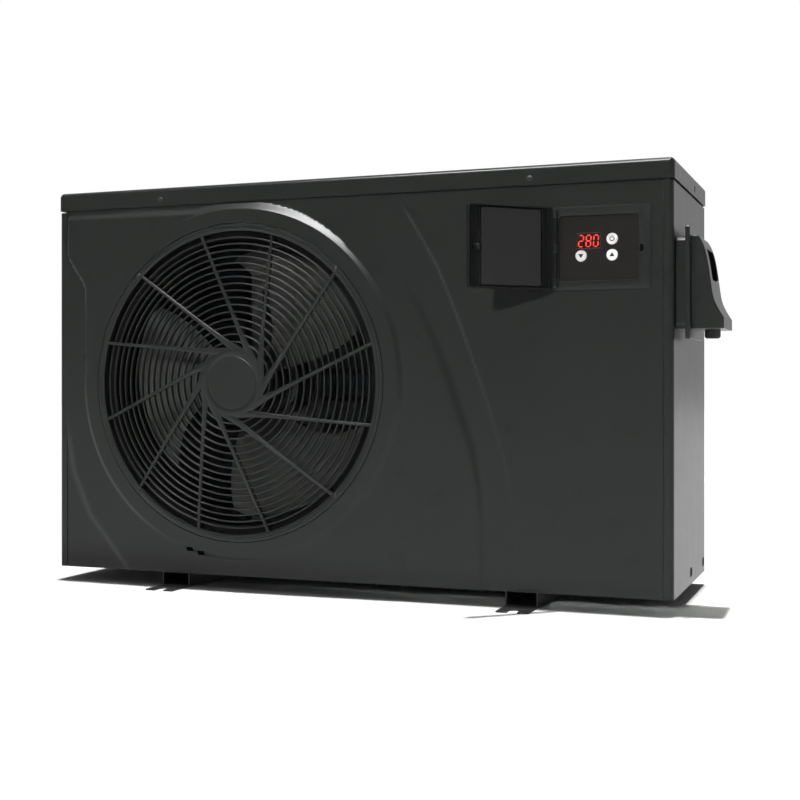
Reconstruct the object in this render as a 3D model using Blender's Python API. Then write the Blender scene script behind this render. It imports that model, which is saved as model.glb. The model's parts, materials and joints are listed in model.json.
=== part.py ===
"""Pool heat pump unit: cabinet, axial fan, control panel under a hinged door, cable cover,
refrigerant circuit and water heat exchanger.

Metres, +Z up. Everything is placed in casing coordinates: X runs to the right seen from the
front, Y runs into the unit from the cover's front edge, Z runs up from the cabinet's bottom
edge. The empty "unit" carries the whole object, so that the world origin lies on the ground
under the middle of the object's overall box.
"""
import math

import bmesh
import bpy
from mathutils import Matrix, Vector

# Driving dimensions of the cabinet
CASE_W = 1.000            # cover, left to right
CASE_D = 0.320            # cover, front to back
CASE_H = 0.610            # cabinet's bottom edge to the cover's top
FOOT_H = 0.022            # ground to the cabinet's bottom edge
FIT = 0.0003              # gap between pieces that touch
WALL = 0.0025             # moulded panels and cover
SHEET = 0.0015            # folded steel
LIP = 0.0015              # cover's overhang past the panels
SKIRT = 0.029             # height of the cover's skirt
SEAM = 0.003              # shadow gap under the skirt
JOGGLE = 0.004            # inward step of a panel's tab under the skirt
TAB_H = 0.018             # height of that tab
WRAP = 0.0155             # side panels' fold round to the front and the back
RETURN = 0.012            # flanges where two panels meet
FLANGE_Z = 0.030          # those flanges start above the base pan's rim
PAN_RIM = 0.026
RIM_ROW = 0.027           # panels stay flat up to here, just past the rim
CORNER_R = 0.006

# Fan, grille and its opening in the front panel
FAN_X = 0.3270
FAN_Z = 0.3000
OPENING_R = 0.2475        # hole in the front panel
SURROUND_W = 0.0185       # width of the raised surround's flat face
SURROUND_SLOPE = 0.010
SURROUND_RISE = 0.008
GRILLE_GAP = 0.001        # grille to the hole's edge
GRILLE_RIM = 0.0115       # width of the grille's rim
GRILLE_HUB_R = 0.052
GRILLE_DOME = 0.008       # the middle stands this far ahead of the rim
GRILLE_BACK = 0.0038
SPOKES = 12
SPOKE_W = 0.0045
SPOKE_ANGLE = 14.3        # outer end of the first spoke, degrees
SHROUD_STEP = 0.0255      # shroud's throat inside the hole's edge
SHROUD_FLANGE = 0.0145    # shroud's flange past the hole's edge
SHROUD_LEN = 0.070
TIP_GAP = 0.009           # blade tips to the shroud
ROTOR_HUB_R = 0.045
BLADES = 3
SHAFT_R = 0.006
SHAFT_CLEAR = 0.00008
FAN_Y = 0.040             # front of the rotor's hub
FAN_HUB_LEN = 0.050
MOTOR_R = 0.052
MOTOR_LEN = 0.075
MOTOR_GAP = 0.012         # hub to motor
DRAIN_R = 0.010
DRAIN_FLANGE_R = 0.016
DRAIN_GAP = 0.0013        # drain's flange to the motor's bracket

# Compartments and coil
PARTITION_X = 0.655
COIL_T = 0.026
COIL_GAP = 0.003          # coil to the panels' flanges and tabs
COIL_LEG = 0.230          # length of the coil's leg along the left panel
COIL_PAST = 0.006         # coil's end past the partition
TRAY_DROP = 0.100         # panels' top edge to the electrical tray's underside

# Control panel and its door
DOOR_AXIS_X = 0.8335
DOOR_AXIS_Y = -0.0055
DOOR_REACH = 0.1345       # hinge axis to the door's free edge
DOOR_Z0 = 0.4305
DOOR_H = 0.116
DOOR_EDGE = 0.005         # hinge axis to the door's near edge
DOOR_T = 0.009
DOOR_WALL = 0.002
DOOR_OPEN = 138.0         # rest position, degrees from closed
KNUCKLE_R = 0.0038
PIN_R = 0.0015
PIN_CLEAR = 0.0001
KNUCKLE_GAP = 0.0005
EAR_H = 0.010
FRAME_MARGIN = 0.005      # frame's left edge past the hinge axis
FRAME_T = 0.0027
BEZEL_X0 = 0.0055         # hinge axis to the display's opening
BEZEL_END = 0.0165        # display's opening to the door's free edge
BEZEL_H = 0.092
BEZEL_DEPTH = 0.0175
BEZEL_R = 0.005
PLATE_T = 0.002
PLATE_SINK = 0.0035       # plate's face behind the frame's face
LEDGE = 0.002
BUTTON_R = 0.0079
BUTTON_PROUD = 0.0012
BUTTON_TRAVEL = 0.0008
CATCH_INSET = 0.0123      # door's free edge to the catch's axis

# Cable cover on the right panel
COVER_Y0 = 0.018
COVER_LEN = 0.099
COVER_Z0 = 0.374
COVER_H = 0.129
NECK_OUT = 0.0145
COVER_FLANGE_T = 0.0065
COVER_FLANGE_MARGIN = 0.0140
HOOD_OUT = 0.0437         # hood's own reach past its flange
HOOD_WALL = 0.003

# Water connections, feet
WATER_X = 0.905
WATER_IN_Z = 0.100
WATER_OUT_Z = 0.330
WATER_PIPE_R = 0.025
WATER_WALL = 0.006
WATER_OUT = 0.046         # past the cover's back edge
FOOT_W = 0.048
FOOT_X = (0.2175, 0.7825)
FOOT_OUT = 0.048          # past the cover at each end
FOOT_SHEET = 0.002
SLOT_W = 0.015
SLOT_L = 0.022

# Derived places
X0 = LIP
X1 = CASE_W - LIP
Y0 = LIP
Y1 = CASE_D - LIP
PANEL_TOP = CASE_H - SKIRT - SEAM
SURROUND_R = OPENING_R + SURROUND_W
GRILLE_R = OPENING_R - GRILLE_GAP
GRILLE_INNER_R = GRILLE_R - GRILLE_RIM
GRILLE_SCREW_R = GRILLE_R - GRILLE_RIM / 2
SHROUD_R = OPENING_R - SHROUD_STEP
ROTOR_R = SHROUD_R - TIP_GAP
BEZEL_W = DOOR_REACH - BEZEL_X0 - BEZEL_END
CATCH_REACH = DOOR_REACH - CATCH_INSET
WATER_BORE_R = WATER_PIPE_R - WATER_WALL
BRACKET_Y = FAN_Y + FAN_HUB_LEN + MOTOR_GAP + MOTOR_LEN + FIT
DRAIN_Y = BRACKET_Y - DRAIN_FLANGE_R - DRAIN_GAP
BACK_Y = CASE_D - LIP - WALL
COIL_BACK = Y1 - RETURN - COIL_GAP
HOOD_EDGE = X1 + FIT + NECK_OUT + COVER_FLANGE_T + FIT + HOOD_OUT
DOOR_FRONT = DOOR_AXIS_Y - DOOR_REACH * math.sin(math.radians(180.0 - DOOR_OPEN))

COLOURS = {
    "panel": ((0.034, 0.036, 0.035), 0.42, 0.0),
    "panel_dark": ((0.020, 0.021, 0.021), 0.45, 0.0),
    "steel_black": ((0.012, 0.012, 0.012), 0.50, 0.6),
    "galvanised": ((0.45, 0.46, 0.47), 0.40, 0.9),
    "copper": ((0.70, 0.32, 0.18), 0.30, 1.0),
    "brass": ((0.70, 0.52, 0.22), 0.30, 1.0),
    "aluminium_fin": ((0.62, 0.64, 0.66), 0.38, 1.0),
    "zinc_screw": ((0.06, 0.06, 0.06), 0.35, 0.8),
    "fan_plastic": ((0.10, 0.10, 0.10), 0.50, 0.0),
    "rubber": ((0.015, 0.015, 0.015), 0.85, 0.0),
    "compressor": ((0.02, 0.02, 0.022), 0.35, 0.3),
    "pvc": ((0.20, 0.21, 0.22), 0.40, 0.0),
    "circuit_board": ((0.02, 0.12, 0.05), 0.45, 0.0),
    "display_plate": ((0.020, 0.017, 0.013), 0.30, 0.0),
    "button": ((0.86, 0.86, 0.86), 0.40, 0.0),
    "steel": ((0.55, 0.55, 0.56), 0.28, 1.0),
}


# ---------------------------------------------------------------- helpers

def clear_scene():
    for obj in list(bpy.data.objects):
        bpy.data.objects.remove(obj, do_unlink=True)


def material(name):
    """The named finish, made the first time it is asked for."""
    found = bpy.data.materials.get(name)
    if found:
        return found
    colour, roughness, metallic = COLOURS[name]
    made = bpy.data.materials.new(name)
    made.use_nodes = True
    shader = made.node_tree.nodes["Principled BSDF"]
    shader.inputs["Base Color"].default_value = (*colour, 1.0)
    shader.inputs["Roughness"].default_value = roughness
    shader.inputs["Metallic"].default_value = metallic
    made.diffuse_color = (*colour, 1.0)
    return made


def empty(name, location, parent=None, turn=0.0):
    obj = bpy.data.objects.new(name, None)
    bpy.context.scene.collection.objects.link(obj)
    obj.location = location
    obj.rotation_euler = (0.0, 0.0, math.radians(turn))
    obj.parent = parent
    return obj


def piece(name, bm, finish, parent, smooth=30.0, place=(0.0, 0.0, 0.0), recalc=True):
    """Make one named object from a mesh being built; place is its origin under the parent."""
    if recalc:
        bmesh.ops.recalc_face_normals(bm, faces=bm.faces)
    mesh = bpy.data.meshes.new(name)
    bm.to_mesh(mesh)
    bm.free()
    mesh.shade_smooth()
    mesh.set_sharp_from_angle(angle=math.radians(smooth))
    mesh.materials.append(material(finish))
    obj = bpy.data.objects.new(name, mesh)
    bpy.context.scene.collection.objects.link(obj)
    obj.location = place
    obj.parent = parent
    return obj


def tool(name, bm, parent, place=(0.0, 0.0, 0.0)):
    """A shape that only takes part in Booleans."""
    obj = piece(name, bm, "panel", parent, place=place)
    obj.hide_render = True
    obj.display_type = "WIRE"
    return obj


def boolean(obj, other, operation="DIFFERENCE"):
    step = obj.modifiers.new(operation.lower(), "BOOLEAN")
    step.operation = operation
    step.solver = "EXACT"
    step.object = other
    return obj


def solidify(obj, thickness, offset=-1.0):
    """Give a sheet its thickness; offset -1 grows it against its normals."""
    step = obj.modifiers.new("thickness", "SOLIDIFY")
    step.thickness = thickness
    step.offset = offset
    step.use_even_offset = True
    return obj


def add_box(bm, low, high):
    """A closed box between two corners; returns its new vertices."""
    middle = [(a + b) / 2 for a, b in zip(low, high)]
    size = [b - a for a, b in zip(low, high)]
    matrix = Matrix.Translation(middle) @ Matrix.Diagonal((*size, 1.0))
    return bmesh.ops.create_cube(bm, size=1.0, matrix=matrix)["verts"]


def box_mesh(low, high):
    bm = bmesh.new()
    add_box(bm, low, high)
    return bm


def soften(bm, width, segments=2, along=None):
    """Bevel a mesh's edges, or only those that run along one axis (0, 1 or 2)."""
    edges = []
    for edge in bm.edges:
        run = edge.verts[1].co - edge.verts[0].co
        if along is None or abs(run[along]) > 0.999 * run.length:
            edges.append(edge)
    bmesh.ops.bevel(bm, geom=edges, offset=width, segments=segments, profile=0.5, affect="EDGES")


def to_world(axis, a, b, along):
    """A point of a cross-section, put into X, Y, Z for a run along the given axis."""
    if axis == "X":
        return Vector((along, a, b))
    if axis == "Y":
        return Vector((a, along, b))
    return Vector((a, b, along))


def add_prism(bm, outline, axis, start, end):
    """Extrude a closed outline along an axis."""
    near = [bm.verts.new(to_world(axis, a, b, start)) for a, b in outline]
    far = [bm.verts.new(to_world(axis, a, b, end)) for a, b in outline]
    bm.faces.new(near)
    bm.faces.new(list(reversed(far)))
    for i, vert in enumerate(near):
        j = (i + 1) % len(near)
        bm.faces.new((vert, far[i], far[j], near[j]))


def add_lathe(bm, profile, axis, centre, segments, ring=False):
    """Turn a profile of (radius, distance along the axis) round a line through centre.

    A ring's profile is a closed outline. Any other profile starts and ends at radius 0.
    """
    loops = []
    for radius, along in profile:
        if radius == 0.0:
            loops.append([bm.verts.new(to_world(axis, centre[0], centre[1], along))])
            continue
        loop = []
        for i in range(segments):
            angle = 2 * math.pi * i / segments
            a = centre[0] + radius * math.cos(angle)
            b = centre[1] + radius * math.sin(angle)
            loop.append(bm.verts.new(to_world(axis, a, b, along)))
        loops.append(loop)
    pairs = list(zip(loops, loops[1:]))
    if ring:
        pairs.append((loops[-1], loops[0]))
    for low, high in pairs:
        for i in range(segments):
            j = (i + 1) % segments
            corners = [low[i % len(low)], low[j % len(low)], high[j % len(high)], high[i % len(high)]]
            face = []
            for vert in corners:
                if vert not in face:
                    face.append(vert)
            bm.faces.new(face)


def lathe_mesh(profile, axis, centre, segments, ring=False):
    bm = bmesh.new()
    add_lathe(bm, profile, axis, centre, segments, ring)
    return bm


def rod(radius, start, end):
    """Profile of a plain solid cylinder."""
    return [(0.0, start), (radius, start), (radius, end), (0.0, end)]


def tube_profile(outer, inner, start, end):
    return [(inner, start), (outer, start), (outer, end), (inner, end)]


def rounded(low, high, radius, steps=3):
    """Corner-rounded rectangle between two corners, as a list of points."""
    points = []
    corners = ((high[0], high[1], 0), (low[0], high[1], 90), (low[0], low[1], 180), (high[0], low[1], 270))
    for x, y, first in corners:
        cx = x - radius if x == high[0] else x + radius
        cy = y - radius if y == high[1] else y + radius
        for i in range(steps + 1):
            angle = math.radians(first + 90.0 * i / steps)
            points.append((cx + radius * math.cos(angle), cy + radius * math.sin(angle)))
    return points


def smooth_route(points, per_span=3):
    """Points along a smooth curve through the given route points."""
    route = [Vector(p) for p in points]
    ends = [2 * route[0] - route[1]] + route + [2 * route[-1] - route[-2]]
    result = []
    for i in range(1, len(ends) - 2):
        a, b, c, d = ends[i - 1:i + 3]
        for k in range(per_span):
            t = k / per_span
            result.append(0.5 * (2 * b + (c - a) * t + (2 * a - 5 * b + 4 * c - d) * t * t
                                 + (3 * b - a - 3 * c + d) * t ** 3))
    result.append(route[-1])
    return result


def pipe(name, points, radius, finish, parent):
    """A bent pipe: straight first and last stretches, and a smooth curve between them."""
    curve = bpy.data.curves.new(name, "CURVE")
    curve.dimensions = "3D"
    curve.bevel_depth = radius
    curve.bevel_resolution = 2
    curve.use_fill_caps = True
    curve.materials.append(material(finish))
    route = [Vector(points[0])] + smooth_route(points[1:-1]) + [Vector(points[-1])]
    spline = curve.splines.new("POLY")
    spline.points.add(len(route) - 1)
    for target, point in zip(spline.points, route):
        target.co = (*point, 1.0)
    spline.use_smooth = True
    obj = bpy.data.objects.new(name, curve)
    bpy.context.scene.collection.objects.link(obj)
    obj.parent = parent
    return obj


# ---------------------------------------------------------------- cabinet

def base_pan(unit):
    """Steel tray with an upturned rim, and a drain hole under the fan."""
    inner = X0 + WALL + FIT
    far_x = X1 - WALL - FIT
    far_y = Y1 - WALL - FIT
    bm = box_mesh((inner, Y0 + WALL + FIT, 0.0), (far_x, far_y, PAN_RIM))
    soften(bm, CORNER_R, 3, along=2)
    pan = piece("base_pan", bm, "steel_black", unit)
    low = (inner + SHEET, Y0 + WALL + FIT + SHEET, SHEET)
    pocket = box_mesh(low, (far_x - SHEET, far_y - SHEET, FLANGE_Z))
    boolean(pan, tool("base_pan_pocket", pocket, unit))
    hole = lathe_mesh(rod(DRAIN_R, -0.005, 0.005), "Z", (FAN_X, DRAIN_Y), 16)
    boolean(pan, tool("drain_hole", hole, unit))
    neck = DRAIN_R - 0.0004
    profile = [(0.007, -FOOT_H + 0.004), (0.009, -FOOT_H + 0.004), (neck, -0.002), (neck, SHEET + FIT),
               (DRAIN_FLANGE_R, SHEET + FIT), (DRAIN_FLANGE_R, SHEET + 0.0025), (0.007, SHEET + 0.0025)]
    nozzle = lathe_mesh(profile, "Z", (FAN_X, DRAIN_Y), 16, ring=True)
    piece("drain_nozzle", nozzle, "panel_dark", unit)


def foot(name, middle, unit):
    """Folded steel rail with an open slot for a fixing bolt at each end."""
    x0, x1 = middle - FOOT_W / 2, middle + FOOT_W / 2
    top = -FIT
    web = -FOOT_H + FOOT_SHEET
    bm = box_mesh((x0, -FOOT_OUT, -FOOT_H), (x1, CASE_D + FOOT_OUT, top))
    rail = piece(name, bm, "steel_black", unit)
    inside = bmesh.new()
    add_box(inside, (x0 + FOOT_SHEET, -0.1, web), (x1 - FOOT_SHEET, CASE_D + 0.1, top + 0.01))
    boolean(rail, tool(name + "_channel", inside, unit))
    ends = bmesh.new()
    for y0, y1 in ((-0.1, 0.004), (CASE_D - 0.004, CASE_D + 0.1)):
        add_box(ends, (x0 - 0.01, y0, web), (x1 + 0.01, y1, top + 0.01))
    boolean(rail, tool(name + "_ends", ends, unit))
    slots = bmesh.new()
    for tip, into in ((-FOOT_OUT, 1.0), (CASE_D + FOOT_OUT, -1.0)):
        base = tip + into * (SLOT_L - SLOT_W / 2)
        outline = [(middle + SLOT_W / 2, tip - into * 0.01), (middle + SLOT_W / 2, base)]
        for i in range(1, 6):
            angle = math.pi * i / 6
            outline.append((middle + SLOT_W / 2 * math.cos(angle), base + into * SLOT_W / 2 * math.sin(angle)))
        outline += [(middle - SLOT_W / 2, base), (middle - SLOT_W / 2, tip - into * 0.01)]
        add_prism(slots, outline, "Z", -FOOT_H - 0.01, top)
    boolean(rail, tool(name + "_slots", slots, unit))


def extrude_edges(bm, edges, shift):
    """Extrude sheet edges by a shift; returns the new edges."""
    new = bmesh.ops.extrude_edge_only(bm, edges=edges)["geom"]
    verts = [item for item in new if isinstance(item, bmesh.types.BMVert)]
    bmesh.ops.translate(bm, verts=verts, vec=shift)
    kept = set(verts)
    return [item for item in new if isinstance(item, bmesh.types.BMEdge)
            and item.verts[0] in kept and item.verts[1] in kept]


def edges_where(bm, test):
    return [edge for edge in bm.edges if edge.is_boundary and all(test(v.co) for v in edge.verts)]


def near(a, b):
    return abs(a - b) < 1e-5


def control_hole():
    """Corners of the front panel's hole behind the control frame."""
    x0 = DOOR_AXIS_X + BEZEL_X0 - LEDGE - 0.001
    x1 = DOOR_AXIS_X + CATCH_REACH + 0.0085
    middle = DOOR_Z0 + DOOR_H / 2
    half = BEZEL_H / 2 + LEDGE + 0.001
    return (x0, middle - half), (x1, middle + half)


def front_panel(unit):
    """Moulded front with the fan's raised surround; a sheet given its wall by Solidify."""
    bm = bmesh.new()
    left, right = WRAP + FIT, CASE_W - WRAP - FIT
    notch = PANEL_TOP - 0.008
    outline = [(left, 0.0), (right, 0.0), (right, RIM_ROW), (right, FLANGE_Z), (right, notch), (right, PANEL_TOP),
               (left, PANEL_TOP), (left, notch), (left, FLANGE_Z), (left, RIM_ROW)]
    low, high = control_hole()
    hole = [(low[0], low[1]), (high[0], low[1]), (high[0], high[1]), (low[0], high[1])]
    outer_r = SURROUND_R + SURROUND_SLOPE
    count = 56
    circle = [(FAN_X + outer_r * math.cos(2 * math.pi * i / count),
               FAN_Z + outer_r * math.sin(2 * math.pi * i / count)) for i in range(count)]
    edges = []
    for loop in (outline, hole, circle):
        verts = [bm.verts.new((x, Y0, z)) for x, z in loop]
        edges += [bm.edges.new((verts[i], verts[(i + 1) % len(verts)])) for i in range(len(verts))]
    bmesh.ops.triangle_fill(bm, use_beauty=True, use_dissolve=False, edges=edges, normal=(0, -1, 0))
    face_y = Y0 - SURROUND_RISE

    def from_fan(co):
        return math.hypot(co.x - FAN_X, co.z - FAN_Z)

    rim = edges_where(bm, lambda co: near(from_fan(co), outer_r))
    for radius, y in ((SURROUND_R, face_y), (OPENING_R, face_y), (OPENING_R, GRILLE_BACK)):
        rim = extrude_edges(bm, rim, (0, 0, 0))
        for vert in {v for edge in rim for v in edge.verts}:
            scale = radius / from_fan(vert.co)
            vert.co.x = FAN_X + (vert.co.x - FAN_X) * scale
            vert.co.z = FAN_Z + (vert.co.z - FAN_Z) * scale
            vert.co.y = y
    top = edges_where(bm, lambda co: near(co.z, PANEL_TOP))
    shelf = extrude_edges(bm, top, (0, JOGGLE, 0))
    extrude_edges(bm, shelf, (0, 0, TAB_H))
    for x in (left, right):
        side = edges_where(bm, lambda co: near(co.x, x) and near(co.y, Y0)
                           and FLANGE_Z - 1e-5 < co.z < notch + 1e-5)
        extrude_edges(bm, side, (0, RETURN, 0))
    bmesh.ops.recalc_face_normals(bm, faces=bm.faces)
    if sum(face.normal.y * face.calc_area() for face in bm.faces) > 0:
        bmesh.ops.reverse_faces(bm, faces=bm.faces)
    panel = solidify(piece("front_panel", bm, "panel", unit, recalc=False), WALL)
    boolean(panel, tool("front_screw_holes", screw_holes("Y"), unit))
    slots = bmesh.new()
    for x, z in ((FAN_X - 0.086, 0.0355), (FAN_X - 0.066, 0.0300)):
        add_box(slots, (x, -0.01, z), (x + 0.012, 0.01, z + 0.007))
    boolean(panel, tool("front_slots", slots, unit))


COVER_SCREWS = (0.1915, 0.7955)
COVER_SCREW_Z = CASE_H - 0.0195
COVER_SCREW_R = 0.0019


def screw_holes(axis):
    """Clearance holes for the cover's front screws."""
    bm = bmesh.new()
    for x in COVER_SCREWS:
        add_lathe(bm, rod(COVER_SCREW_R + 0.0004, -0.005, 0.020), axis, (x, COVER_SCREW_Z), 16)
    return bm


def fold_outline(side):
    """A side panel's section: front return, front fold, side, rear fold, rear return."""
    def mirrored(x):
        return x if side < 0 else CASE_W - x

    points = [(WRAP, Y0), (X0 + CORNER_R, Y0)]
    for i in range(1, 4):
        angle = math.radians(90 + 90 * i / 4)
        points.append((X0 + CORNER_R + CORNER_R * math.cos(angle), Y0 + CORNER_R - CORNER_R * math.sin(angle)))
    points.append((X0, Y0 + CORNER_R))
    back = [(x, Y0 + Y1 - y) for x, y in reversed(points)]
    return [(mirrored(x), y) for x, y in points + back]


def side_panel(name, side, unit):
    """Side wall folded round both corners, with a tab under the cover's skirt."""
    bm = bmesh.new()
    outline = fold_outline(side)
    rows = []
    for z in (0.0, RIM_ROW, FLANGE_Z, PANEL_TOP - 0.008, PANEL_TOP):
        rows.append([bm.verts.new((x, y, z)) for x, y in outline])
    for low, high in zip(rows, rows[1:]):
        for i in range(len(outline) - 1):
            bm.faces.new((low[i], low[i + 1], high[i + 1], high[i]))
    for y in (Y0, Y1):
        edges = edges_where(bm, lambda co: near(co.y, y) and near(abs(co.x - CASE_W / 2), CASE_W / 2 - WRAP)
                            and FLANGE_Z - 1e-5 < co.z < PANEL_TOP - 0.008 + 1e-5)
        extrude_edges(bm, edges, (0, RETURN if y == Y0 else -RETURN, 0))
    wall_x = X0 if side < 0 else X1
    top = edges_where(bm, lambda co: near(co.z, PANEL_TOP) and near(co.x, wall_x))
    shelf = extrude_edges(bm, top, (-side * JOGGLE, 0, 0))
    extrude_edges(bm, shelf, (0, 0, TAB_H))
    bmesh.ops.recalc_face_normals(bm, faces=bm.faces)
    if sum(face.normal.x * face.calc_area() for face in bm.faces) * side < 0:
        bmesh.ops.reverse_faces(bm, faces=bm.faces)
    return solidify(piece(name, bm, "panel", unit, recalc=False), WALL)


def side_panels(unit):
    left = side_panel("left_panel", -1, unit)
    slots = bmesh.new()
    for row in range(10):
        z = 0.060 + row * 0.048
        for column in range(2):
            y = 0.050 + column * 0.114
            add_box(slots, (-0.01, y, z), (0.02, y + 0.102, z + 0.022))
    boolean(left, tool("left_louvres", slots, unit))
    right = side_panel("right_panel", 1, unit)
    window = cover_window()
    boolean(right, tool("cable_window", box_mesh((X1 - 0.02, *window[0]), (X1 + 0.02, *window[1])), unit))


def cover_window():
    """Opening that the cables use, from the cabinet through to the hood."""
    low = (COVER_Y0 + 0.020, COVER_Z0 + 0.020)
    high = (COVER_Y0 + COVER_LEN - 0.015, COVER_Z0 + COVER_H - 0.030)
    return low, high


def rear_panels(unit):
    """Closed service panel on the right, and the coil's guard on the left."""
    split = PARTITION_X - 0.005
    bm = box_mesh((split, BACK_Y, 0.0), (CASE_W - WRAP - FIT, Y1, PANEL_TOP))
    service = piece("rear_panel", bm, "panel", unit)
    holes = bmesh.new()
    for z in (WATER_IN_Z, WATER_OUT_Z):
        add_lathe(holes, rod(WATER_PIPE_R + 0.002, BACK_Y - 0.01, Y1 + 0.01), "Y", (WATER_X, z), 32)
    boolean(service, tool("water_holes", holes, unit))
    left, right = WRAP + FIT, split - FIT
    guard = piece("rear_guard", box_mesh((left, BACK_Y, 0.0), (right, Y1, PANEL_TOP)), "panel_dark", unit)
    columns, rows, bar, edge = 7, 6, 0.006, 0.022
    cell_x = (right - left - 2 * edge + bar) / columns
    cell_z = (PANEL_TOP - 2 * edge + bar) / rows
    cells = bmesh.new()
    for i in range(columns):
        for j in range(rows):
            x = left + edge + i * cell_x
            z = edge + j * cell_z
            add_box(cells, (x, BACK_Y - 0.01, z), (x + cell_x - bar, Y1 + 0.01, z + cell_z - bar))
    boolean(guard, tool("guard_cells", cells, unit))


def top_cover(unit):
    """Lid with a skirt, screwed to the panels' tabs."""
    bm = box_mesh((0, 0, CASE_H - SKIRT), (CASE_W, CASE_D, CASE_H))
    edges = [edge for edge in bm.edges if max(v.co.z for v in edge.verts) > CASE_H - 1e-5]
    bmesh.ops.bevel(bm, geom=edges, offset=0.007, segments=3, profile=0.5, affect="EDGES")
    cover = piece("top_cover", bm, "panel", unit)
    pocket = box_mesh((WALL, WALL, CASE_H - SKIRT - 0.01), (CASE_W - WALL, CASE_D - WALL, CASE_H - 2 * WALL))
    boolean(cover, tool("cover_pocket", pocket, unit))
    boolean(cover, tool("cover_screw_holes", screw_holes("Y"), unit))
    for side, x in zip(("left", "right"), COVER_SCREWS):
        screw("cover_screw_" + side, (x, COVER_SCREW_Z), -FIT, COVER_SCREW_R, 0.0045, 0.012, unit)


def screw(name, centre, seat, radius, head_r, length, unit):
    """Pan-head screw driven along +Y, its head's underside at seat."""
    profile = [(0.0, seat - 0.0022), (head_r * 0.75, seat - 0.0020), (head_r, seat - 0.0008), (head_r, seat),
               (radius, seat), (radius, seat + length - 0.002), (0.0, seat + length)]
    piece(name, lathe_mesh(profile, "Y", centre, 10), "zinc_screw", unit)


# ---------------------------------------------------------------- fan

def grille_face(radius):
    """How far ahead of the rim's plane the domed grille stands at a radius."""
    return Y0 - SURROUND_RISE - 0.0005 - GRILLE_DOME * (1 - (radius / GRILLE_INNER_R) ** 2)


def spoke_outline_points(first_angle):
    """Centre line of one swept spoke, from the hub out to the rim."""
    points = []
    steps = 4
    for i in range(steps + 1):
        radius = GRILLE_HUB_R - 0.004 + (GRILLE_INNER_R + 0.004 - GRILLE_HUB_R + 0.004) * i / steps
        sweep = math.degrees(math.asin(min(1.0, 0.045 / radius))) - math.degrees(math.asin(0.045 / GRILLE_INNER_R))
        points.append((radius, math.radians(first_angle - sweep)))
    return points


def fan_grille(unit):
    """Guard in front of the fan: rim, hub disc, rings and swept spokes as one moulding."""
    centre = (FAN_X, FAN_Z)
    face = Y0 - SURROUND_RISE - 0.0005
    rim = lathe_mesh(tube_profile(GRILLE_R, GRILLE_INNER_R, face, GRILLE_BACK), "Y", centre, 48, ring=True)
    grille = piece("fan_grille", rim, "panel_dark", unit)
    rings = bmesh.new()
    for radius in (0.110, 0.172):
        y = grille_face(radius)
        profile = tube_profile(radius + 0.0018, radius - 0.0018, y + 0.001, y + 0.007)
        add_lathe(rings, profile, "Y", centre, 36, ring=True)
    hub_y = grille_face(GRILLE_HUB_R)
    add_lathe(rings, rod(GRILLE_HUB_R, hub_y, hub_y + 0.009), "Y", centre, 24)
    spokes = bmesh.new()
    for k in range(SPOKES):
        add_spoke(spokes, SPOKE_ANGLE + 360.0 / SPOKES * k)
    boolean(grille, tool("grille_spokes", spokes, unit), "UNION")
    boolean(grille, tool("grille_rings", rings, unit), "UNION")
    holes = bmesh.new()
    shroud_holes = bmesh.new()
    for k in range(4):
        angle = math.radians(45 + 90 * k)
        spot = (FAN_X + GRILLE_SCREW_R * math.cos(angle), FAN_Z + GRILLE_SCREW_R * math.sin(angle))
        add_lathe(holes, rod(0.0023, -0.03, 0.02), "Y", spot, 12)
        add_lathe(shroud_holes, rod(0.0023, -0.03, 0.02), "Y", spot, 12)
        screw("grille_screw_%d" % (k + 1), spot, face - FIT, 0.0018, 0.0038, 0.018, unit)
    boolean(grille, tool("grille_holes", holes, unit))
    return tool("shroud_holes", shroud_holes, unit)


def add_spoke(bm, first_angle):
    """One spoke as a swept bar that follows the grille's dome."""
    loops = []
    line = spoke_outline_points(first_angle)
    spots = [Vector((FAN_X + r * math.cos(a), FAN_Z + r * math.sin(a))) for r, a in line]
    for i, (radius, _) in enumerate(line):
        run = (spots[min(i + 1, len(spots) - 1)] - spots[max(i - 1, 0)]).normalized()
        across = Vector((-run.y, run.x)) * SPOKE_W / 2
        y = grille_face(min(radius, GRILLE_INNER_R))
        loop = []
        for offset, depth in ((1, 0.0004), (-1, 0.0004), (-1, 0.008), (1, 0.008)):
            spot = spots[i] + across * offset
            loop.append(bm.verts.new((spot.x, y + depth, spot.y)))
        loops.append(loop)
    bm.faces.new(loops[0])
    bm.faces.new(list(reversed(loops[-1])))
    for low, high in zip(loops, loops[1:]):
        for i in range(4):
            j = (i + 1) % 4
            bm.faces.new((low[i], high[i], high[j], low[j]))


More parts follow.
